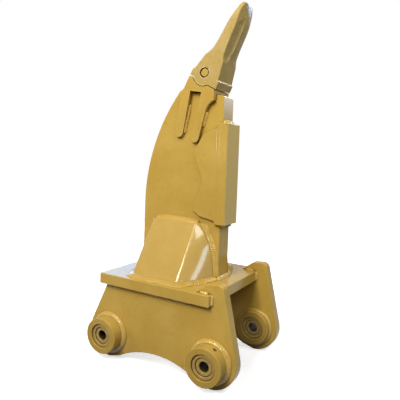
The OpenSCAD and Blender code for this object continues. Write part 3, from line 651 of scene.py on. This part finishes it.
def gusset_beads(side):
    """Corner lines of one gusset: its foot, its two end panels and its top."""
    flip = np.array([1.0, side, 1.0])
    face = SHANK_HALF + SEAT
    ends = np.array([[-SHANK_REAR, face], [SHANK_FRONT, face]])
    foot = np.vstack([ends[:1], gusset_line(np.array([0.0]), 0.0)[0], ends[1:]])
    above = np.vstack([ends[:1], gusset_line(np.array([BIG / GUSSET_H]), 0.0)[0], ends[1:]])
    base = np.column_stack([foot, np.full(len(foot), DECK_TOP)])
    rise = unit(np.column_stack([above - foot, np.full(len(foot), BIG)]))
    way = np.gradient(foot, axis=0)
    outward = unit(np.column_stack([-way[:, 1], way[:, 0], 0.0 * way[:, 0]]))
    beads = [bead(base * flip, outward * flip, rise * flip, FOOT_LEG, BIG, 0.4, rough=FOOT_ROUGH)]
    level = np.linspace(0.02, 1.0, 40)
    lines = gusset_line(level, 0.0)
    height = (DECK_TOP + GUSSET_H * level)[:, None]
    for end, beside, way_x, rough in ((-1, -2, 1.0, FRONT_ROUGH), (0, 1, -1.0, REAR_ROUGH)):
        corner = np.concatenate([lines[:, end], height], axis=1)
        corner[:, 0] += PANEL_GAP * way_x
        corner[:, 1] = SHANK_HALF
        panel = np.column_stack([unit(lines[:, beside] - lines[:, end]), 0.0 * level])
        beads.append(bead(corner * flip, way_x * X, panel * flip, BIG, BIG, 0.9, rough=rough))
    top = np.array([[-SIDE_REAR, SHANK_HALF, DECK_TOP + GUSSET_H],
                    [SIDE_FRONT - SIDE_FRONT_IN, SHANK_HALF, DECK_TOP + GUSSET_H]])
    beads.append(bead(top * flip, side * Y, Z, TOP_LEG_OUT, TOP_LEG_UP, 0.25, rough=TOP_ROUGH,
                      k=1.7, ease=45.0))
    return beads


across_shank = np.array([[0, -SHANK_HALF - SMALL, DECK_TOP],
                         [0, SHANK_HALF + SMALL, DECK_TOP]], float)
bead_pieces += [
    bead_set("gusset_welds", both_sides(gusset_beads)),
    bead_set("shank_welds", [
        bead(across_shank + SHANK_FRONT * X, X, Z, BIG, BIG, 0.35),
        bead(across_shank - SHANK_REAR * X, -X, Z, BIG, BIG, 0.75)])]

# %% [markdown]
# Fine beads run beside the legs of the adapter, and a heavy one closes each end of the guard. A leg
# is given by where it ends on the shank and by its lean, and each of its straight edges has a bead.

# %% Beads of the adapter
LEG_W, LEG_BEAD, LEG_ROUGH = 34.0, 1.2 * FINE, 1.1
REAR_LEG = {"x": -43.0, "drop": 160.0, "lean": math.radians(11.0)}
FRONT_LEG = {"x": 26.0, "drop": 170.0, "lean": math.radians(14.5)}
REAR_LEG_LEN, FRONT_LEG_LEN, FLARE_FROM, FLARE_TO = 112.0, 119.0, 48.0, 105.0


def leg_bead(side, leg, low, high, edge, phase):
    """Bead beside one straight edge of a leg, from low to high along the leg."""
    lean = leg["lean"]
    up_leg = np.array([math.sin(lean), 0.0, math.cos(lean)])
    out = np.array([math.cos(lean), 0.0, -math.sin(lean)]) * edge
    shank_end = SHANK_END_Z + (SHANK_END_X - leg["x"]) * math.tan(SHANK_END_SLOPE)
    end = np.array([leg["x"], side * SHANK_HALF, shank_end - leg["drop"]]) + out * LEG_W / 2.0
    return bead(np.array([end + up_leg * low, end + up_leg * high]), out, side * Y,
                LEG_BEAD, LEG_BEAD, phase, rough=LEG_ROUGH)


def adapter_beads(side):
    """Both edges of the two legs on one side. The front leg's outer edge is straight only midway."""
    return [leg_bead(side, REAR_LEG, 0.0, REAR_LEG_LEN, -1.0, 0.1),
            leg_bead(side, REAR_LEG, 0.0, REAR_LEG_LEN, 1.0, 0.6),
            leg_bead(side, FRONT_LEG, 0.0, FRONT_LEG_LEN, -1.0, 0.3),
            leg_bead(side, FRONT_LEG, FLARE_FROM, FLARE_TO, 1.0, 0.8)]


bead_pieces.append(bead_set("adapter_welds", both_sides(adapter_beads)))

# %% Beads of the guard
GUARD_Z, GUARD_H = 537.0, 374.0
guard_up = np.array([-math.sin(SHANK_LEAN), 0.0, math.cos(SHANK_LEAN)])
guard_out = np.array([math.cos(SHANK_LEAN), 0.0, math.sin(SHANK_LEAN)])
guard_x = SHANK_FRONT - (GUARD_Z - DECK_TOP) * math.tan(SHANK_LEAN)
guard_foot = np.array([guard_x, 0.0, GUARD_Z]) + SEAT * guard_out
guard_line = np.array([[0, -SHANK_HALF, 0], [0, SHANK_HALF, 0]], float) + guard_foot
bead_pieces.append(bead_set("guard_welds", [
    bead(guard_line + GUARD_H * guard_up, guard_out, guard_up, BIG, BIG, 0.2),
    bead(guard_line, guard_out, -guard_up, BIG, BIG, 0.55)]))

# %% [markdown]
# ## Finishes
# The ripper is sprayed in ochre, over plate, castings and welds alike. The paint has clouds and
# flecks, its edges are lighter as wear and a painted highlight, and its corners are darkened as
# painted shade. Each of these effects is used by several finishes, so each is a shader node group with
# named sockets, built once. They read Object coordinates, so a pattern stays where it is on the part.

# %% Helpers for nodes and groups
FLOAT, COLOUR = "NodeSocketFloat", "NodeSocketColor"


def new_group(name, inputs, outputs):
    """Empty shader group with float or colour sockets."""
    group = bpy.data.node_groups.new(name, "ShaderNodeTree")
    for label, kind, value in inputs:
        socket = group.interface.new_socket(label, in_out="INPUT", socket_type=kind)
        socket.default_value = value
    for label, kind in outputs:
        group.interface.new_socket(label, in_out="OUTPUT", socket_type=kind)
    return group, group.nodes.new("NodeGroupInput"), group.nodes.new("NodeGroupOutput")


def add(tree, kind, values=(), **settings):
    """New node with settings and plain input values."""
    made = tree.nodes.new(kind)
    for key, value in settings.items():
        setattr(made, key, value)
    for key, value in dict(values).items():
        made.inputs[key].default_value = value
    return made


def link(tree, *pairs):
    """Join each output to its input."""
    for source, target in pairs:
        tree.links.new(source, target)


def noise(tree, **values):
    """Noise texture on Object coordinates."""
    place = add(tree, "ShaderNodeTexCoord")
    made = add(tree, "ShaderNodeTexNoise", values)
    link(tree, (place.outputs["Object"], made.inputs["Vector"]))
    return made


def ramp(tree, source, low, high, to_low=0.0, to_high=1.0):
    """Value carried in a straight line from one range to another, kept inside it."""
    made = add(tree, "ShaderNodeMapRange",
               {"From Min": low, "From Max": high, "To Min": to_low, "To Max": to_high})
    link(tree, (source, made.inputs["Value"]))
    return made.outputs["Result"]


def at_most(tree, mask, most):
    """Mask that reaches only the share most."""
    return ramp(tree, mask, 0.0, 1.0, 0.0, most)


def times(tree, first, second):
    """Product of two values."""
    made = add(tree, "ShaderNodeMath", operation="MULTIPLY")
    link(tree, (first, made.inputs[0]), (second, made.inputs[1]))
    return made.outputs[0]


def blend_colours(tree, share, first, second):
    """Colour between two, by a share from 0 to 1."""
    made = add(tree, "ShaderNodeMix", data_type="RGBA")
    sockets = {s.identifier: s for s in made.inputs}
    for key, value in (("Factor_Float", share), ("A_Color", first), ("B_Color", second)):
        if isinstance(value, bpy.types.NodeSocket):
            link(tree, (value, sockets[key]))
        else:
            sockets[key].default_value = value
    return next(s for s in made.outputs if s.identifier == "Result_Color")


print("node helpers ready")

# %% [markdown]
# Sprayed paint is never one colour: it is a little lighter where it lies thin and a little browner
# where it pools, and its surface has a fine orange peel. Noise textures at four scales give all of
# this without an image, so there is no seam and no repeat.


# %% Group: sprayed paint
def sprayed_paint_group():
    """Slow clouds, blots and fine flecks shift the colour, and orange peel gives a height."""
    tree, into, out = new_group(
        "sprayed paint",
        [("Thin", COLOUR, (0.7, 0.5, 0.2, 1)), ("Full", COLOUR, (0.6, 0.4, 0.1, 1)),
         ("Pooled", COLOUR, (0.4, 0.25, 0.05, 1)), ("Flecks", FLOAT, 0.3), ("Fineness", FLOAT, 420.0)],
        [("Color", COLOUR), ("Rough", FLOAT), ("Height", FLOAT)])
    clouds = noise(tree, Scale=7.0, Detail=4.0, Roughness=0.55).outputs["Fac"]
    blots = noise(tree, Scale=60.0, Detail=5.0, Roughness=0.65).outputs["Fac"]
    flecks = noise(tree, Detail=3.0, Roughness=0.7)
    peel = noise(tree, Scale=240.0, Detail=2.0, Roughness=0.5)
    link(tree, (into.outputs["Fineness"], flecks.inputs["Scale"]))
    body = blend_colours(tree, ramp(tree, clouds, 0.42, 0.68),
                         into.outputs["Full"], into.outputs["Thin"])
    blotted = blend_colours(tree, ramp(tree, blots, 0.56, 0.74, 0.0, 0.3),
                            body, into.outputs["Pooled"])
    amount = times(tree, ramp(tree, flecks.outputs["Fac"], 0.55, 0.72), into.outputs["Flecks"])
    flecked = blend_colours(tree, amount, blotted, into.outputs["Pooled"])
    link(tree, (flecked, out.inputs["Color"]),
         (ramp(tree, blots, 0.35, 0.7, 0.17, 0.27), out.inputs["Rough"]),
         (peel.outputs["Fac"], out.inputs["Height"]))
    return tree


PAINT_GROUP = sprayed_paint_group()
print("group:", PAINT_GROUP.name)

# %% [markdown]
# Paint is rubbed thin on edges, and rounded edges catch the light, so the edges are painted lighter:
# partly wear and partly a painted highlight. A mask could be painted by hand, but the Bevel node finds
# the edges of any mesh: it gives the normal that a rounded edge would have, and where that turns away
# from the true normal there is an edge. Noise breaks the line up.


# %% Group: edge wear and painted edge highlight
def edge_wear_and_highlight_group():
    """Mask of sharp edges, from the product of the two normals, times a noise that breaks it up."""
    tree, into, out = new_group("edge wear and highlight", [("Radius", FLOAT, 0.004)], [("Mask", FLOAT)])
    round_normal = add(tree, "ShaderNodeBevel", samples=6)
    here = add(tree, "ShaderNodeNewGeometry")
    breaks = noise(tree, Scale=90.0, Detail=4.0, Roughness=0.65)
    facing = add(tree, "ShaderNodeVectorMath", operation="DOT_PRODUCT")
    link(tree, (into.outputs["Radius"], round_normal.inputs["Radius"]),
         (round_normal.outputs["Normal"], facing.inputs[0]),
         (here.outputs["Normal"], facing.inputs[1]))
    mask = times(tree, ramp(tree, facing.outputs["Value"], 0.985, 0.86),
                 ramp(tree, breaks.outputs["Fac"], 0.42, 0.6))
    link(tree, (mask, out.inputs["Mask"]))
    return tree


EDGE_GROUP = edge_wear_and_highlight_group()
print("group:", EDGE_GROUP.name)

# %% [markdown]
# A casting keeps the grain of its sand mould. Where surfaces come close together the colour is
# darkened as painted shade, and the Ambient Occlusion node finds those places on any mesh.


# %% Groups: cast skin, and painted shade in the corners
def cast_skin_group():
    """Height of a sand casting: fine grains on slow dents."""
    tree, into, out = new_group("cast skin", [("Grain", FLOAT, 320.0)], [("Height", FLOAT)])
    grains = noise(tree, Detail=3.0, Roughness=0.6)
    dents = noise(tree, Scale=45.0, Detail=3.0, Roughness=0.5)
    total = add(tree, "ShaderNodeMath", {1: 0.6}, operation="MULTIPLY_ADD")
    link(tree, (into.outputs["Grain"], grains.inputs["Scale"]),
         (grains.outputs["Fac"], total.inputs[0]), (dents.outputs["Fac"], total.inputs[2]),
         (total.outputs[0], out.inputs["Height"]))
    return tree


def painted_shade_group():
    """Mask that grows where other surfaces lie within reach, for the painted shade in corners."""
    tree, into, out = new_group("painted corner shade", [("Reach", FLOAT, 0.03)], [("Mask", FLOAT)])
    near = add(tree, "ShaderNodeAmbientOcclusion", samples=8)
    link(tree, (into.outputs["Reach"], near.inputs["Distance"]),
         (ramp(tree, near.outputs["AO"], 0.85, 0.35), out.inputs["Mask"]))
    return tree


CAST_GROUP, SHADE_GROUP = cast_skin_group(), painted_shade_group()
print("groups:", CAST_GROUP.name, "and", SHADE_GROUP.name)

# %% [markdown]
# ## Ochre paint
# All painted finishes are one function with different values, because they are one paint on different
# grounds: plate is smooth, castings are grainy and flecked, beads shine more. The layers go on in this
# order: paint, lighter edges that are partly wear and partly a painted highlight, painted shade in the
# corners, and last the worn places and the places painted lighter as painted light, where the bump
# fades too, because worn metal is smooth.

# %% Painted finish as a function
THIN, FULL, POOLED = (0.54, 0.355, 0.078, 1), (0.49, 0.31, 0.057, 1), (0.31, 0.175, 0.022, 1)
# The lighter edge colours stand for wear and for a painted highlight on the edges.
EDGE_WEAR_AND_HIGHLIGHT, PALE_WEAR_AND_HIGHLIGHT = (0.78, 0.56, 0.2, 1), (0.92, 0.8, 0.5, 1)
# The dark corner colour and its reach give painted shade in the corners.
SHADE_COLOUR, SHADE_REACH, STEEL_GREY = (0.1, 0.05, 0.006, 1), 0.022, (0.62, 0.62, 0.6, 1)
PEEL_STRENGTH, CAST_STRENGTH, BUMP_DEPTH, CAST_GRAIN = 0.08, 0.25, 0.0012, 300.0


def new_material(name):
    """Material with one Principled shader."""
    material = bpy.data.materials.new(name)
    material.use_nodes = True
    tree = material.node_tree
    tree.nodes.clear()
    shader = add(tree, "ShaderNodeBsdfPrincipled")
    out = add(tree, "ShaderNodeOutputMaterial")
    link(tree, (shader.outputs["BSDF"], out.inputs["Surface"]))
    return material, tree, shader


def use_group(tree, group, **values):
    """A group placed in a tree, with its own values."""
    return add(tree, "ShaderNodeGroup", node_tree=group, values=values)


def ochre(name, flecks, edge_share, gloss, coat, blur=0.07, thin=THIN, full=FULL, fineness=420.0,
          edge_wear_and_highlight=EDGE_WEAR_AND_HIGHLIGHT, edge_reach=0.004, shade_share=0.4, cast=False,
          wear_and_light=None, wear_and_light_colour=STEEL_GREY, wear_and_light_metal=1.0):
    """Painted finish. flecks and edge_share are shares of fleck and of lighter edges, which are wear
    and a painted highlight, and one more share sets the painted shade in the corners.

    gloss and coat are the mirror of the paint and of its lacquer, and blur softens the lacquer.
    A mask function can be given for worn places and for places painted lighter as painted light, with
    their own colour and metal share.
    """
    material, tree, shader = new_material(name)
    paint = use_group(tree, PAINT_GROUP, Thin=thin, Full=full, Pooled=POOLED, Flecks=flecks,
                      Fineness=fineness)
    edge = use_group(tree, EDGE_GROUP, Radius=edge_reach)
    corner_shade = use_group(tree, SHADE_GROUP, Reach=SHADE_REACH)
    # Lighter edges: partly wear, partly a painted highlight.
    colour = blend_colours(tree, at_most(tree, edge.outputs["Mask"], edge_share),
                           paint.outputs["Color"], edge_wear_and_highlight)
    # Painted shade: the colour darkens where the Ambient Occlusion mask finds corners.
    colour = blend_colours(tree, at_most(tree, corner_shade.outputs["Mask"], shade_share), colour, SHADE_COLOUR)
    strength = CAST_STRENGTH if cast else PEEL_STRENGTH
    ground = use_group(tree, CAST_GROUP, Grain=CAST_GRAIN) if cast else paint
    bump = add(tree, "ShaderNodeBump", {"Strength": strength, "Distance": BUMP_DEPTH})
    link(tree, (ground.outputs["Height"], bump.inputs["Height"]),
         (bump.outputs["Normal"], shader.inputs["Normal"]))
    # Worn places, and places painted lighter as painted light, take their own colour and metal share.
    if wear_and_light is not None:
        mask = wear_and_light(tree)
        colour = blend_colours(tree, mask, colour, wear_and_light_colour)
        link(tree, (at_most(tree, mask, wear_and_light_metal), shader.inputs["Metallic"]),
             (ramp(tree, mask, 0.0, 1.0, strength, 0.0), bump.inputs["Strength"]))
    link(tree, (colour, shader.inputs["Base Color"]),
         (paint.outputs["Rough"], shader.inputs["Roughness"]))
    shader.inputs["Specular IOR Level"].default_value = gloss
    shader.inputs["Specular Tint"].default_value = (1.0, 0.8, 0.45, 1)
    shader.inputs["Coat Weight"].default_value = coat
    shader.inputs["Coat Roughness"].default_value = blur
    return material


print("paint colours:", THIN[:3], FULL[:3], POOLED[:3])

# %% [markdown]
# Three places take their own colour. The paint is gone at one corner of the tip, and the bare steel
# there is given a bluish colour as a painted reflection. The shank's front edge above the guard turns
# to grey metal, more so towards the top. The front of the guard is painted lighter, as painted light
# on the faces that look forward. Each is a mask: how far a point lies along a direction of the part,
# and which way its face looks.

# %% Masks of the worn places and of the painted light
BARE_FROM, BARE_LINE, BARE_SLANT, BARE_TO = 0.270, 0.006, 0.45, 0.022


def along_mask(tree, direction, low, high, output="Object"):
    """Smooth mask along a direction of the part, from low to high in metres."""
    place = add(tree, "ShaderNodeTexCoord")
    reach = add(tree, "ShaderNodeVectorMath", {1: direction}, operation="DOT_PRODUCT")
    link(tree, (place.outputs[output], reach.inputs[0]))
    return ramp(tree, reach.outputs["Value"], low, high)


def facing_mask(tree, direction, low, high):
    """Mask of the faces that look along a direction of the part."""
    return along_mask(tree, direction, low, high, "Normal")


def tip_mask(tree):
    """Bare corner of the tip: high up its front, left of a line that leans across the ridge."""
    axis = np.array([math.sin(T_LEAN), 0.0, math.cos(T_LEAN)])
    start = float(TOOTH_FOOT @ axis) * MM + BARE_FROM
    across = Y + BARE_SLANT * axis
    line = BARE_LINE + BARE_SLANT * start
    high = times(tree, along_mask(tree, tuple(axis), start + MM, start + 2.0 * MM),
                 along_mask(tree, tuple(across), line, line + MM))
    near = times(tree, high, along_mask(tree, tuple(-Y), -BARE_TO - 2.0 * MM, -BARE_TO))
    front = (math.cos(T_LEAN), 0.0, -math.sin(T_LEAN))
    return times(tree, near, facing_mask(tree, front, 0.1, 0.2))


def shank_mask(tree):
    """Grey metal on the front edge above the guard, fading downward."""
    front = facing_mask(tree, tuple(X), 0.8, 0.95)
    return times(tree, front, along_mask(tree, tuple(Z), 0.90, 1.02))


def painted_light_guard_mask(tree):
    """Front of the guard, painted lighter as painted light on the faces that look forward."""
    return facing_mask(tree, tuple(X), 0.75, 0.92)


print("bare tip from", round(BARE_FROM / MM), "mm up the tooth")

# %% [markdown]
# The finishes follow. The deck mirrors the light at a low angle, so it has more gloss. The folded
# gussets have a thick lacquer, which draws the long white line on the fold, and their paint is a
# little darker as painted shade. The ears are painted a little lighter as painted light and the bosses
# a little darker as painted shade, though all are one paint. The guard's edges and front are painted
# lighter as a painted highlight and painted light. Tooth and adapter are matt, flecked and grainy, and
# the tooth is pale along its edges, partly as wear and partly as a painted highlight.

# %% Painted finishes
plate_paint = ochre("ochre_plate", flecks=0.04, edge_share=0.4, gloss=0.08, coat=0.04)
# The ears are painted lighter and the bosses darker than the other plates: painted light and painted
# shade on one paint.
lit_ear_paint = ochre("ochre_ear_lit", flecks=0.04, edge_share=0.4, gloss=0.08, coat=0.04, shade_share=0.85,
                  thin=(0.57, 0.375, 0.082, 1), full=(0.52, 0.327, 0.06, 1))
shaded_boss_paint = ochre("ochre_boss_shaded", flecks=0.04, edge_share=0.4, gloss=0.08, coat=0.04, shade_share=0.6,
                   thin=(0.5, 0.325, 0.072, 1), full=(0.45, 0.285, 0.053, 1))
deck_paint = ochre("ochre_deck", flecks=0.04, edge_share=0.4, gloss=0.16, coat=0.02)
# The gussets' paint is a little darker as painted shade.
shaded_fold_paint = ochre("ochre_fold_shaded", flecks=0.04, edge_share=0.3, gloss=0.12, coat=0.75, blur=0.11,
                   thin=(0.505, 0.33, 0.071, 1), full=(0.46, 0.29, 0.052, 1))
# The guard's pale edges are a painted highlight, its front is painted lighter as painted light, and
# its corners carry painted shade.
guard_paint = ochre("ochre_guard", flecks=0.04, edge_share=0.9, gloss=0.06, coat=0.14, shade_share=0.9,
                    edge_wear_and_highlight=PALE_WEAR_AND_HIGHLIGHT, wear_and_light=painted_light_guard_mask, wear_and_light_colour=(0.66, 0.45, 0.12, 1), wear_and_light_metal=0.0)
shank_paint = ochre("ochre_shank", flecks=0.04, edge_share=0.35, gloss=0.08, coat=0.04, shade_share=0.6,
                    wear_and_light=shank_mask)
cast_paint = ochre("ochre_casting", flecks=0.45, edge_share=0.5, gloss=0.1, coat=0.03, shade_share=0.6,
                   cast=True, fineness=260.0,
                   thin=(0.56, 0.37, 0.085, 1), full=(0.49, 0.31, 0.06, 1))
# The tooth's pale edges are partly wear and partly a painted highlight; the blue of the bare tip is a
# painted reflection on bare steel.
tooth_paint = ochre("ochre_tooth", flecks=0.75, edge_share=0.9, gloss=0.04, coat=0.0, shade_share=0.7,
                    cast=True, fineness=200.0, edge_wear_and_highlight=PALE_WEAR_AND_HIGHLIGHT, edge_reach=0.007,
                    thin=(0.57, 0.415, 0.17, 1), full=(0.45, 0.315, 0.1, 1),
                    wear_and_light=tip_mask, wear_and_light_colour=(0.45, 0.6, 0.84, 1), wear_and_light_metal=0.18)
bead_paint = ochre("ochre_bead", flecks=0.1, edge_share=0.1, gloss=0.3, coat=0.3)
print("painted finishes:", [m.name for m in bpy.data.materials if m.name.startswith("ochre_")])

# %% [markdown]
# ## Oiled bush steel
# The bushes and sleeves are turned steel under old grease and overspray: brown and stained. The bores
# and gaps are painted nearly black as painted shade. Fine marks run along the pin axis. They are a
# noise texture whose coordinates are squeezed along Y, which draws its spots out to lines.


# %% Bush steel
def bush_steel(name, stained, clean):
    """Stained steel: two browns by a slow noise, black painted shade in the bores, drawn-out marks."""
    material, tree, shader = new_material(name)
    place = add(tree, "ShaderNodeTexCoord")
    stains = noise(tree, Scale=55.0, Detail=5.0, Roughness=0.6).outputs["Fac"]
    marks = add(tree, "ShaderNodeTexNoise", {"Scale": 900.0, "Detail": 1.0})
    stretch = add(tree, "ShaderNodeMapping", {"Scale": (1.0, 0.06, 1.0)})
    corner_shade = use_group(tree, SHADE_GROUP, Reach=0.05)
    colour = blend_colours(tree, ramp(tree, stains, 0.36, 0.66), stained, clean)
    # The bores and gaps are painted nearly black as painted shade.
    colour = blend_colours(tree, at_most(tree, corner_shade.outputs["Mask"], 0.95), colour,
                           (0.02, 0.012, 0.004, 1))
    bump = add(tree, "ShaderNodeBump", {"Strength": 0.12, "Distance": 0.0006})
    link(tree, (place.outputs["Object"], stretch.inputs["Vector"]),
         (stretch.outputs["Vector"], marks.inputs["Vector"]),
         (marks.outputs["Fac"], bump.inputs["Height"]),
         (bump.outputs["Normal"], shader.inputs["Normal"]),
         (colour, shader.inputs["Base Color"]),
         (ramp(tree, stains, 0.3, 0.7, 0.34, 0.55), shader.inputs["Roughness"]))
    shader.inputs["Metallic"].default_value = 0.15
    shader.inputs["Specular IOR Level"].default_value = 0.3
    return material


steel = bush_steel("oiled_bush_steel", (0.27, 0.175, 0.04, 1), (0.42, 0.28, 0.075, 1))
dark_steel = bush_steel("dark_retainer_steel", (0.02, 0.013, 0.006, 1), (0.05, 0.035, 0.015, 1))
print("steels:", steel.name, "and", dark_steel.name)

# %% [markdown]
# Every piece gets its finish, and so does every CAD node. A node that a piece stands for is hidden,
# but it is painted as well, so that nothing is left bare.


# %% Put the finishes on
def finish(objects, material):
    """One material on each object, in place of what it had."""
    for obj in objects:
        obj.data.materials.clear()
        obj.data.materials.append(material)


def ending(*words):
    """CAD nodes whose names end in one of the words."""
    return [nodes[n] for n in nodes if n.endswith(words)]


for material, objects in (
        (deck_paint, [eased["deck_plate"]]),
        (lit_ear_paint, [eased["left_ear"], eased["right_ear"]]),
        (shaded_fold_paint, gussets),
        (guard_paint, [eased["shank_guard"]]),
        (shaded_boss_paint, ending("_boss")),
        (shank_paint, [eased["shank"]]),
        (cast_paint, [eased["adapter"], nodes["tooth_pin"]]),
        (tooth_paint, [tooth]),
        (bead_paint, bead_pieces),
        (steel, ending("_bush", "_sleeve")),
        (dark_steel, [nodes["pin_retainer"]]),
        (plate_paint, ending("deck_plate", "_ear", "shank", "shank_guard", "_gusset")),
        (bead_paint, ending("_welds")),
        (cast_paint, [nodes["adapter"], nodes["tooth_point"]])):
    finish(objects, material)
print("finishes:", [m.name for m in bpy.data.materials if m.users])

# %% [markdown]
# ## Floor and background
# The photograph has a plain white ground. The floor is a pale sheet that keeps the soft shadow. For
# rays that come straight from the camera or from a glossy surface it also glows a little, so that
# it reads as white without more light on the part. The world is white for the same rays and a soft
# grey for the light that it sheds.

# %% Floor and world
FLOOR_HALF, FLOOR_DROP, FLOOR_LINES = 6.0, 0.0005, 13
GLOW_NEAR, GLOW_FAR, NEAR_PART, FAR_FROM_PART = 0.62, 1.0, 0.45, 1.3
WORLD_LIGHT = 0.03


def seen_ray(tree):
    """1 for rays from the camera, from a glossy surface or through glass, else 0."""
    ray = add(tree, "ShaderNodeLightPath")
    seen = ray.outputs["Is Camera Ray"]
    for kind in ("Is Glossy Ray", "Is Transmission Ray"):
        most = add(tree, "ShaderNodeMath", operation="MAXIMUM")
        link(tree, (seen, most.inputs[0]), (ray.outputs[kind], most.inputs[1]))
        seen = most.outputs[0]
    return seen


def pale_floor():
    """Flat grid under the part. Its glow grows with the distance from the part."""
    steps = np.linspace(-FLOOR_HALF, FLOOR_HALF, FLOOR_LINES)
    gx, gy = np.meshgrid(steps, steps)
    points = np.stack([gx, gy, np.full_like(gx, -FLOOR_DROP)], axis=-1).reshape(-1, 3)
    floor = mesh_piece("pale_floor", points, [grid_quads(FLOOR_LINES, FLOOR_LINES)])
    material, tree, shader = new_material("pale_floor")
    shader.inputs["Base Color"].default_value = (0.82, 0.82, 0.82, 1)
    shader.inputs["Roughness"].default_value = 0.9
    shader.inputs["Specular IOR Level"].default_value = 0.1
    glow = add(tree, "ShaderNodeEmission", {"Color": (1, 1, 1, 1)})
    place = add(tree, "ShaderNodeTexCoord")
    away = add(tree, "ShaderNodeVectorMath", operation="LENGTH")
    link(tree, (place.outputs["Object"], away.inputs[0]))
    strength = ramp(tree, away.outputs["Value"], NEAR_PART, FAR_FROM_PART, GLOW_NEAR, GLOW_FAR)
    dim = add(tree, "ShaderNodeBsdfDiffuse", {"Color": (0.08, 0.077, 0.074, 1)})
    both = add(tree, "ShaderNodeAddShader")
    pick = add(tree, "ShaderNodeMixShader")
    out = next(n for n in tree.nodes if n.type == "OUTPUT_MATERIAL")
    link(tree, (strength, glow.inputs["Strength"]),
         (shader.outputs["BSDF"], both.inputs[0]), (glow.outputs["Emission"], both.inputs[1]),
         (seen_ray(tree), pick.inputs["Fac"]), (dim.outputs["BSDF"], pick.inputs[1]),
         (both.outputs["Shader"], pick.inputs[2]), (pick.outputs["Shader"], out.inputs["Surface"]))
    finish([floor], material)


def white_world(light):
    """World that is seen as white and sheds a little light."""
    world = bpy.data.worlds.new("white_ground")
    bpy.context.scene.world = world
    world.use_nodes = True
    tree = world.node_tree
    tree.nodes.clear()
    seen = add(tree, "ShaderNodeBackground", {"Color": (1, 1, 1, 1), "Strength": 1.0})
    shed = add(tree, "ShaderNodeBackground", {"Color": (0.94, 0.97, 1, 1), "Strength": light})
    pick = add(tree, "ShaderNodeMixShader")
    out = add(tree, "ShaderNodeOutputWorld")
    link(tree, (seen_ray(tree), pick.inputs["Fac"]), (shed.outputs["Background"], pick.inputs[1]),
         (seen.outputs["Background"], pick.inputs[2]), (pick.outputs["Shader"], out.inputs["Surface"]))


pale_floor()
white_world(WORLD_LIGHT)
print("floor and world made")

# %% [markdown]
# ## Lamps
# Soft boxes light the part as in a studio. The key box and two boxes at the right give the plain
# light. Tall, narrow boxes draw the long highlights on the gusset's fold and front panel, a strip at
# the left picks out the step of the guard, and a box high behind picks out the rim of the tooth. For
# the rest of the rear, two jobs are kept apart: the blue box only shines, so the deck mirrors it and
# no paint is tinted, and the fill only lights, so the far side is clear and no edge glints.

# %% Studio lamps
WARM, WINDOW, SKY = (1.0, 0.98, 0.95), (0.6, 0.8, 1.0), (0.1, 0.48, 1.0)


def soft_lamp(name, place, aim, size, watts, tint=(1, 1, 1), tall=1.0, shines=True, lights=True):
    """Soft box at a place, turned to its aim, tall times as high as it is wide."""
    lamp_data = bpy.data.lights.new(name, "AREA")
    lamp_data.shape = "RECTANGLE"
    lamp_data.size, lamp_data.size_y = size, tall * size
    lamp_data.energy = watts
    lamp_data.color = tint
    lamp = bpy.data.objects.new(name, lamp_data)
    way = unit(np.array(place, float) - np.array(aim, float))
    side = unit(np.cross(Z, way))
    lamp.matrix_world = pose_matrix(side, np.cross(way, side), way, place)
    lamp.visible_glossy = shines
    lamp.visible_diffuse = lights
    bpy.context.scene.collection.objects.link(lamp)


soft_lamp("key_box", (0.15, -2.15, 2.0), (0.0, 0.0, 0.65), 0.8, 43.0, WARM)
soft_lamp("side_box", (1.9, -1.4, 3.0), (0.0, 0.0, 0.7), 0.8, 16.0)
soft_lamp("front_box", (2.5, -0.4, 2.7), (0.0, 0.0, 0.7), 0.8, 25.0)
soft_lamp("top_box", (-0.24, -1.8, 2.5), (0.0, 0.0, 0.5), 0.3, 25.0, tall=3.0)
soft_lamp("left_strip", (-1.7, -1.4, 0.9), (0.0, 0.0, 0.7), 0.25, 7.0)
soft_lamp("front_window", (2.25, -0.05, 0.95), (0.1, -0.1, 0.42), 0.3, 8.0, WINDOW, tall=2.5)
soft_lamp("rear_box", (-1.6, 1.9, 1.0), (-0.15, -0.1, 0.33), 1.4, 20.0, SKY, lights=False)
soft_lamp("rear_fill", (-2.8, 1.5, 0.7), (0.0, 0.0, 0.6), 1.0, 50.0, WARM, shines=False)
soft_lamp("rear_top", (0.7, 2.2, 2.15), (0.1, 0.0, 1.1), 0.5, 12.0)
bpy.context.scene.view_settings.view_transform = "Standard"
